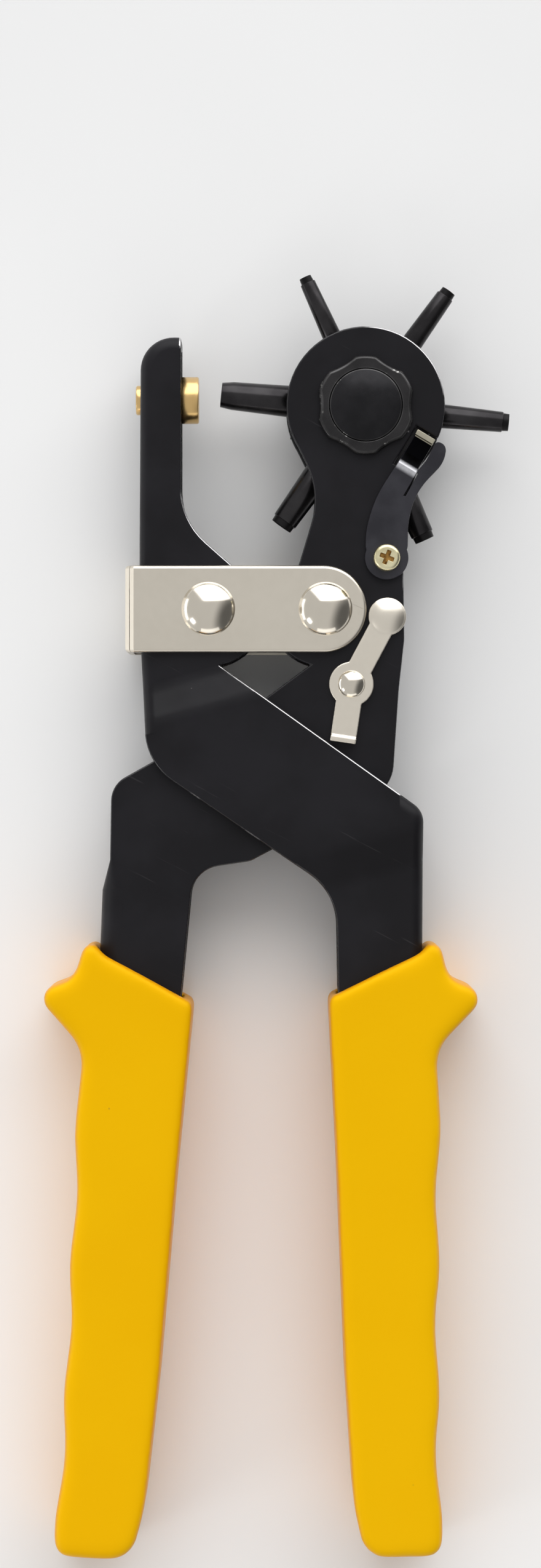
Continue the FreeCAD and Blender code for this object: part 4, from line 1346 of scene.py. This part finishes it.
@dataclass(frozen=True)
class Softbox:
    """One lamp: where it hangs as the tool sees it, its size in metres and how bright its face is."""

    name: str
    azimuth: float
    elevation: float
    distance: float
    size: Pair
    brightness: float

    def hang(self, target: Vector) -> None:
        """Hang the lamp so that it looks at the target.

        Args:
            target: The point that it lights.
        """
        azimuth, elevation = math.radians(self.azimuth), math.radians(self.elevation)
        level = Vector((math.cos(azimuth), math.sin(azimuth), 0))
        way = level * math.cos(elevation) + UP * math.sin(elevation)
        light = bpy.data.lights.new(self.name, "AREA")
        light.shape = "RECTANGLE"
        light.size, light.size_y = self.size
        light.energy = self.brightness * math.pi * self.size[0] * self.size[1]
        lamp = bpy.data.objects.new(self.name, light)
        bpy.context.scene.collection.objects.link(lamp)
        lamp.location = target + way * self.distance
        lamp.rotation_euler = (-way).to_track_quat("-Z", "Y").to_euler()


SOFTBOXES = (
    Softbox("left strip", 178, 8, 0.90, (0.90, 0.16), 1.5),
    Softbox("low spot", 214, 22, 0.80, (0.20, 0.16), 6.0),
    Softbox("front strip", -86, 13, 0.85, (0.80, 0.22), 0.8),
)


@dataclass(frozen=True)
class Sky:
    """The even light of the surroundings, with a dim corner, and a window wall that ends at a jamb."""

    even: float = 0.65
    dim: float = 0.13
    dim_way: Triple = (0.95, -0.30, 0.10)
    dim_edge: Pair = (0.40, 0.90)
    window: float = 2.0
    window_way: Triple = (0.0, 1.0, 0.0)
    window_edge: Pair = (0.42, 0.50)
    jamb_way: Triple = (0.81, 0.59, -0.06)
    jamb_edge: Pair = (-0.07, 0.07)

    def light(self) -> None:
        """Light the world: the even or the dim level, and the window's on top where the jamb lets it in."""
        world = bpy.data.worlds.new("studio")
        bpy.context.scene.world = world
        world.use_nodes = True
        nodes = Nodes(world.node_tree)
        place = nodes.node("TexCoord", {}).outputs["Generated"]
        zones = {
            0: (self.window_way, self.window_edge, (0.0, self.window)),
            1: (self.jamb_way, self.jamb_edge, (0.0, 1.0)),
            2: (self.dim_way, self.dim_edge, (self.even, self.dim)),
        }
        feeds = {key: nodes.ranged(nodes.dot(place, Vector(way).normalized()), *edge, *levels)
                 for key, (way, edge, levels) in zones.items()}
        total = nodes.node("Math", feeds, operation="MULTIPLY_ADD").outputs["Value"]
        nodes.feed(nodes.tree.nodes["Background"], {"Strength": total, "Color": (1, 1, 1, 1)})


@dataclass
class Studio:
    """A pale floor, soft light and the camera."""

    centre: Pair = (-1.35 * MM, 25.84 * MM)
    distance: float = 800 * MM
    plane: float = 22.0 * MM
    frame_height: float = 310.9 * MM
    sensor: float = 36.0
    floor_size: float = 60.0
    floor_drop: float = 0.02 * MM
    floor_tone: Cloud = Cloud(9.0, 2.0)
    floor_dark: Triple = (0.88, 0.88, 0.88)
    floor_light: Triple = (0.905, 0.905, 0.905)

    def build(self) -> None:
        """Build the floor, the lamps, the world and the camera."""
        self.floor()
        Sky().light()
        for softbox in SOFTBOXES:
            softbox.hang(Vector((*self.centre, 0)))
        self.camera()

    def floor(self) -> None:
        """Build the floor, a pale plane with a slightly mottled surface."""
        put_down()
        bpy.ops.mesh.primitive_plane_add(size=self.floor_size, location=(0, 0, -self.floor_drop))
        plane = bpy.context.active_object
        plane.name = "floor"
        graph = Graph("pale floor")
        colour = graph.blend(graph.cloud(self.floor_tone), self.floor_dark, self.floor_light)
        graph.fix(Base_Color=colour, Roughness=1.0, Specular_IOR_Level=0.0)
        plane.data.materials.append(graph.material)

    def camera(self) -> None:
        """Set the camera straight above the tool, as in the photograph."""
        data = bpy.data.cameras.new("camera")
        data.sensor_width = self.sensor
        data.lens = self.sensor * self.distance / self.frame_height
        data.clip_end = self.floor_size
        camera = bpy.data.objects.new("camera", data)
        bpy.context.scene.collection.objects.link(camera)
        camera.location = (*self.centre, self.plane + self.distance)
        bpy.context.scene.camera = camera


def main() -> None:
    """Build the tool piece by piece, then the studio around it."""
    logging.basicConfig(level=logging.INFO, format="%(name)s: %(message)s")
    bpy.context.scene.view_settings.view_transform = "Standard"
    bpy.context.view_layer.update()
    grips = (Grip(side) for side in Side)
    for assembly in (Levers(), Link(), Anvil(), PunchWheel(), IndexSpring(), Latch(), *grips, Studio()):
        assembly.build()
    put_down()
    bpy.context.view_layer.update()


if __name__ == "__main__":
    main()
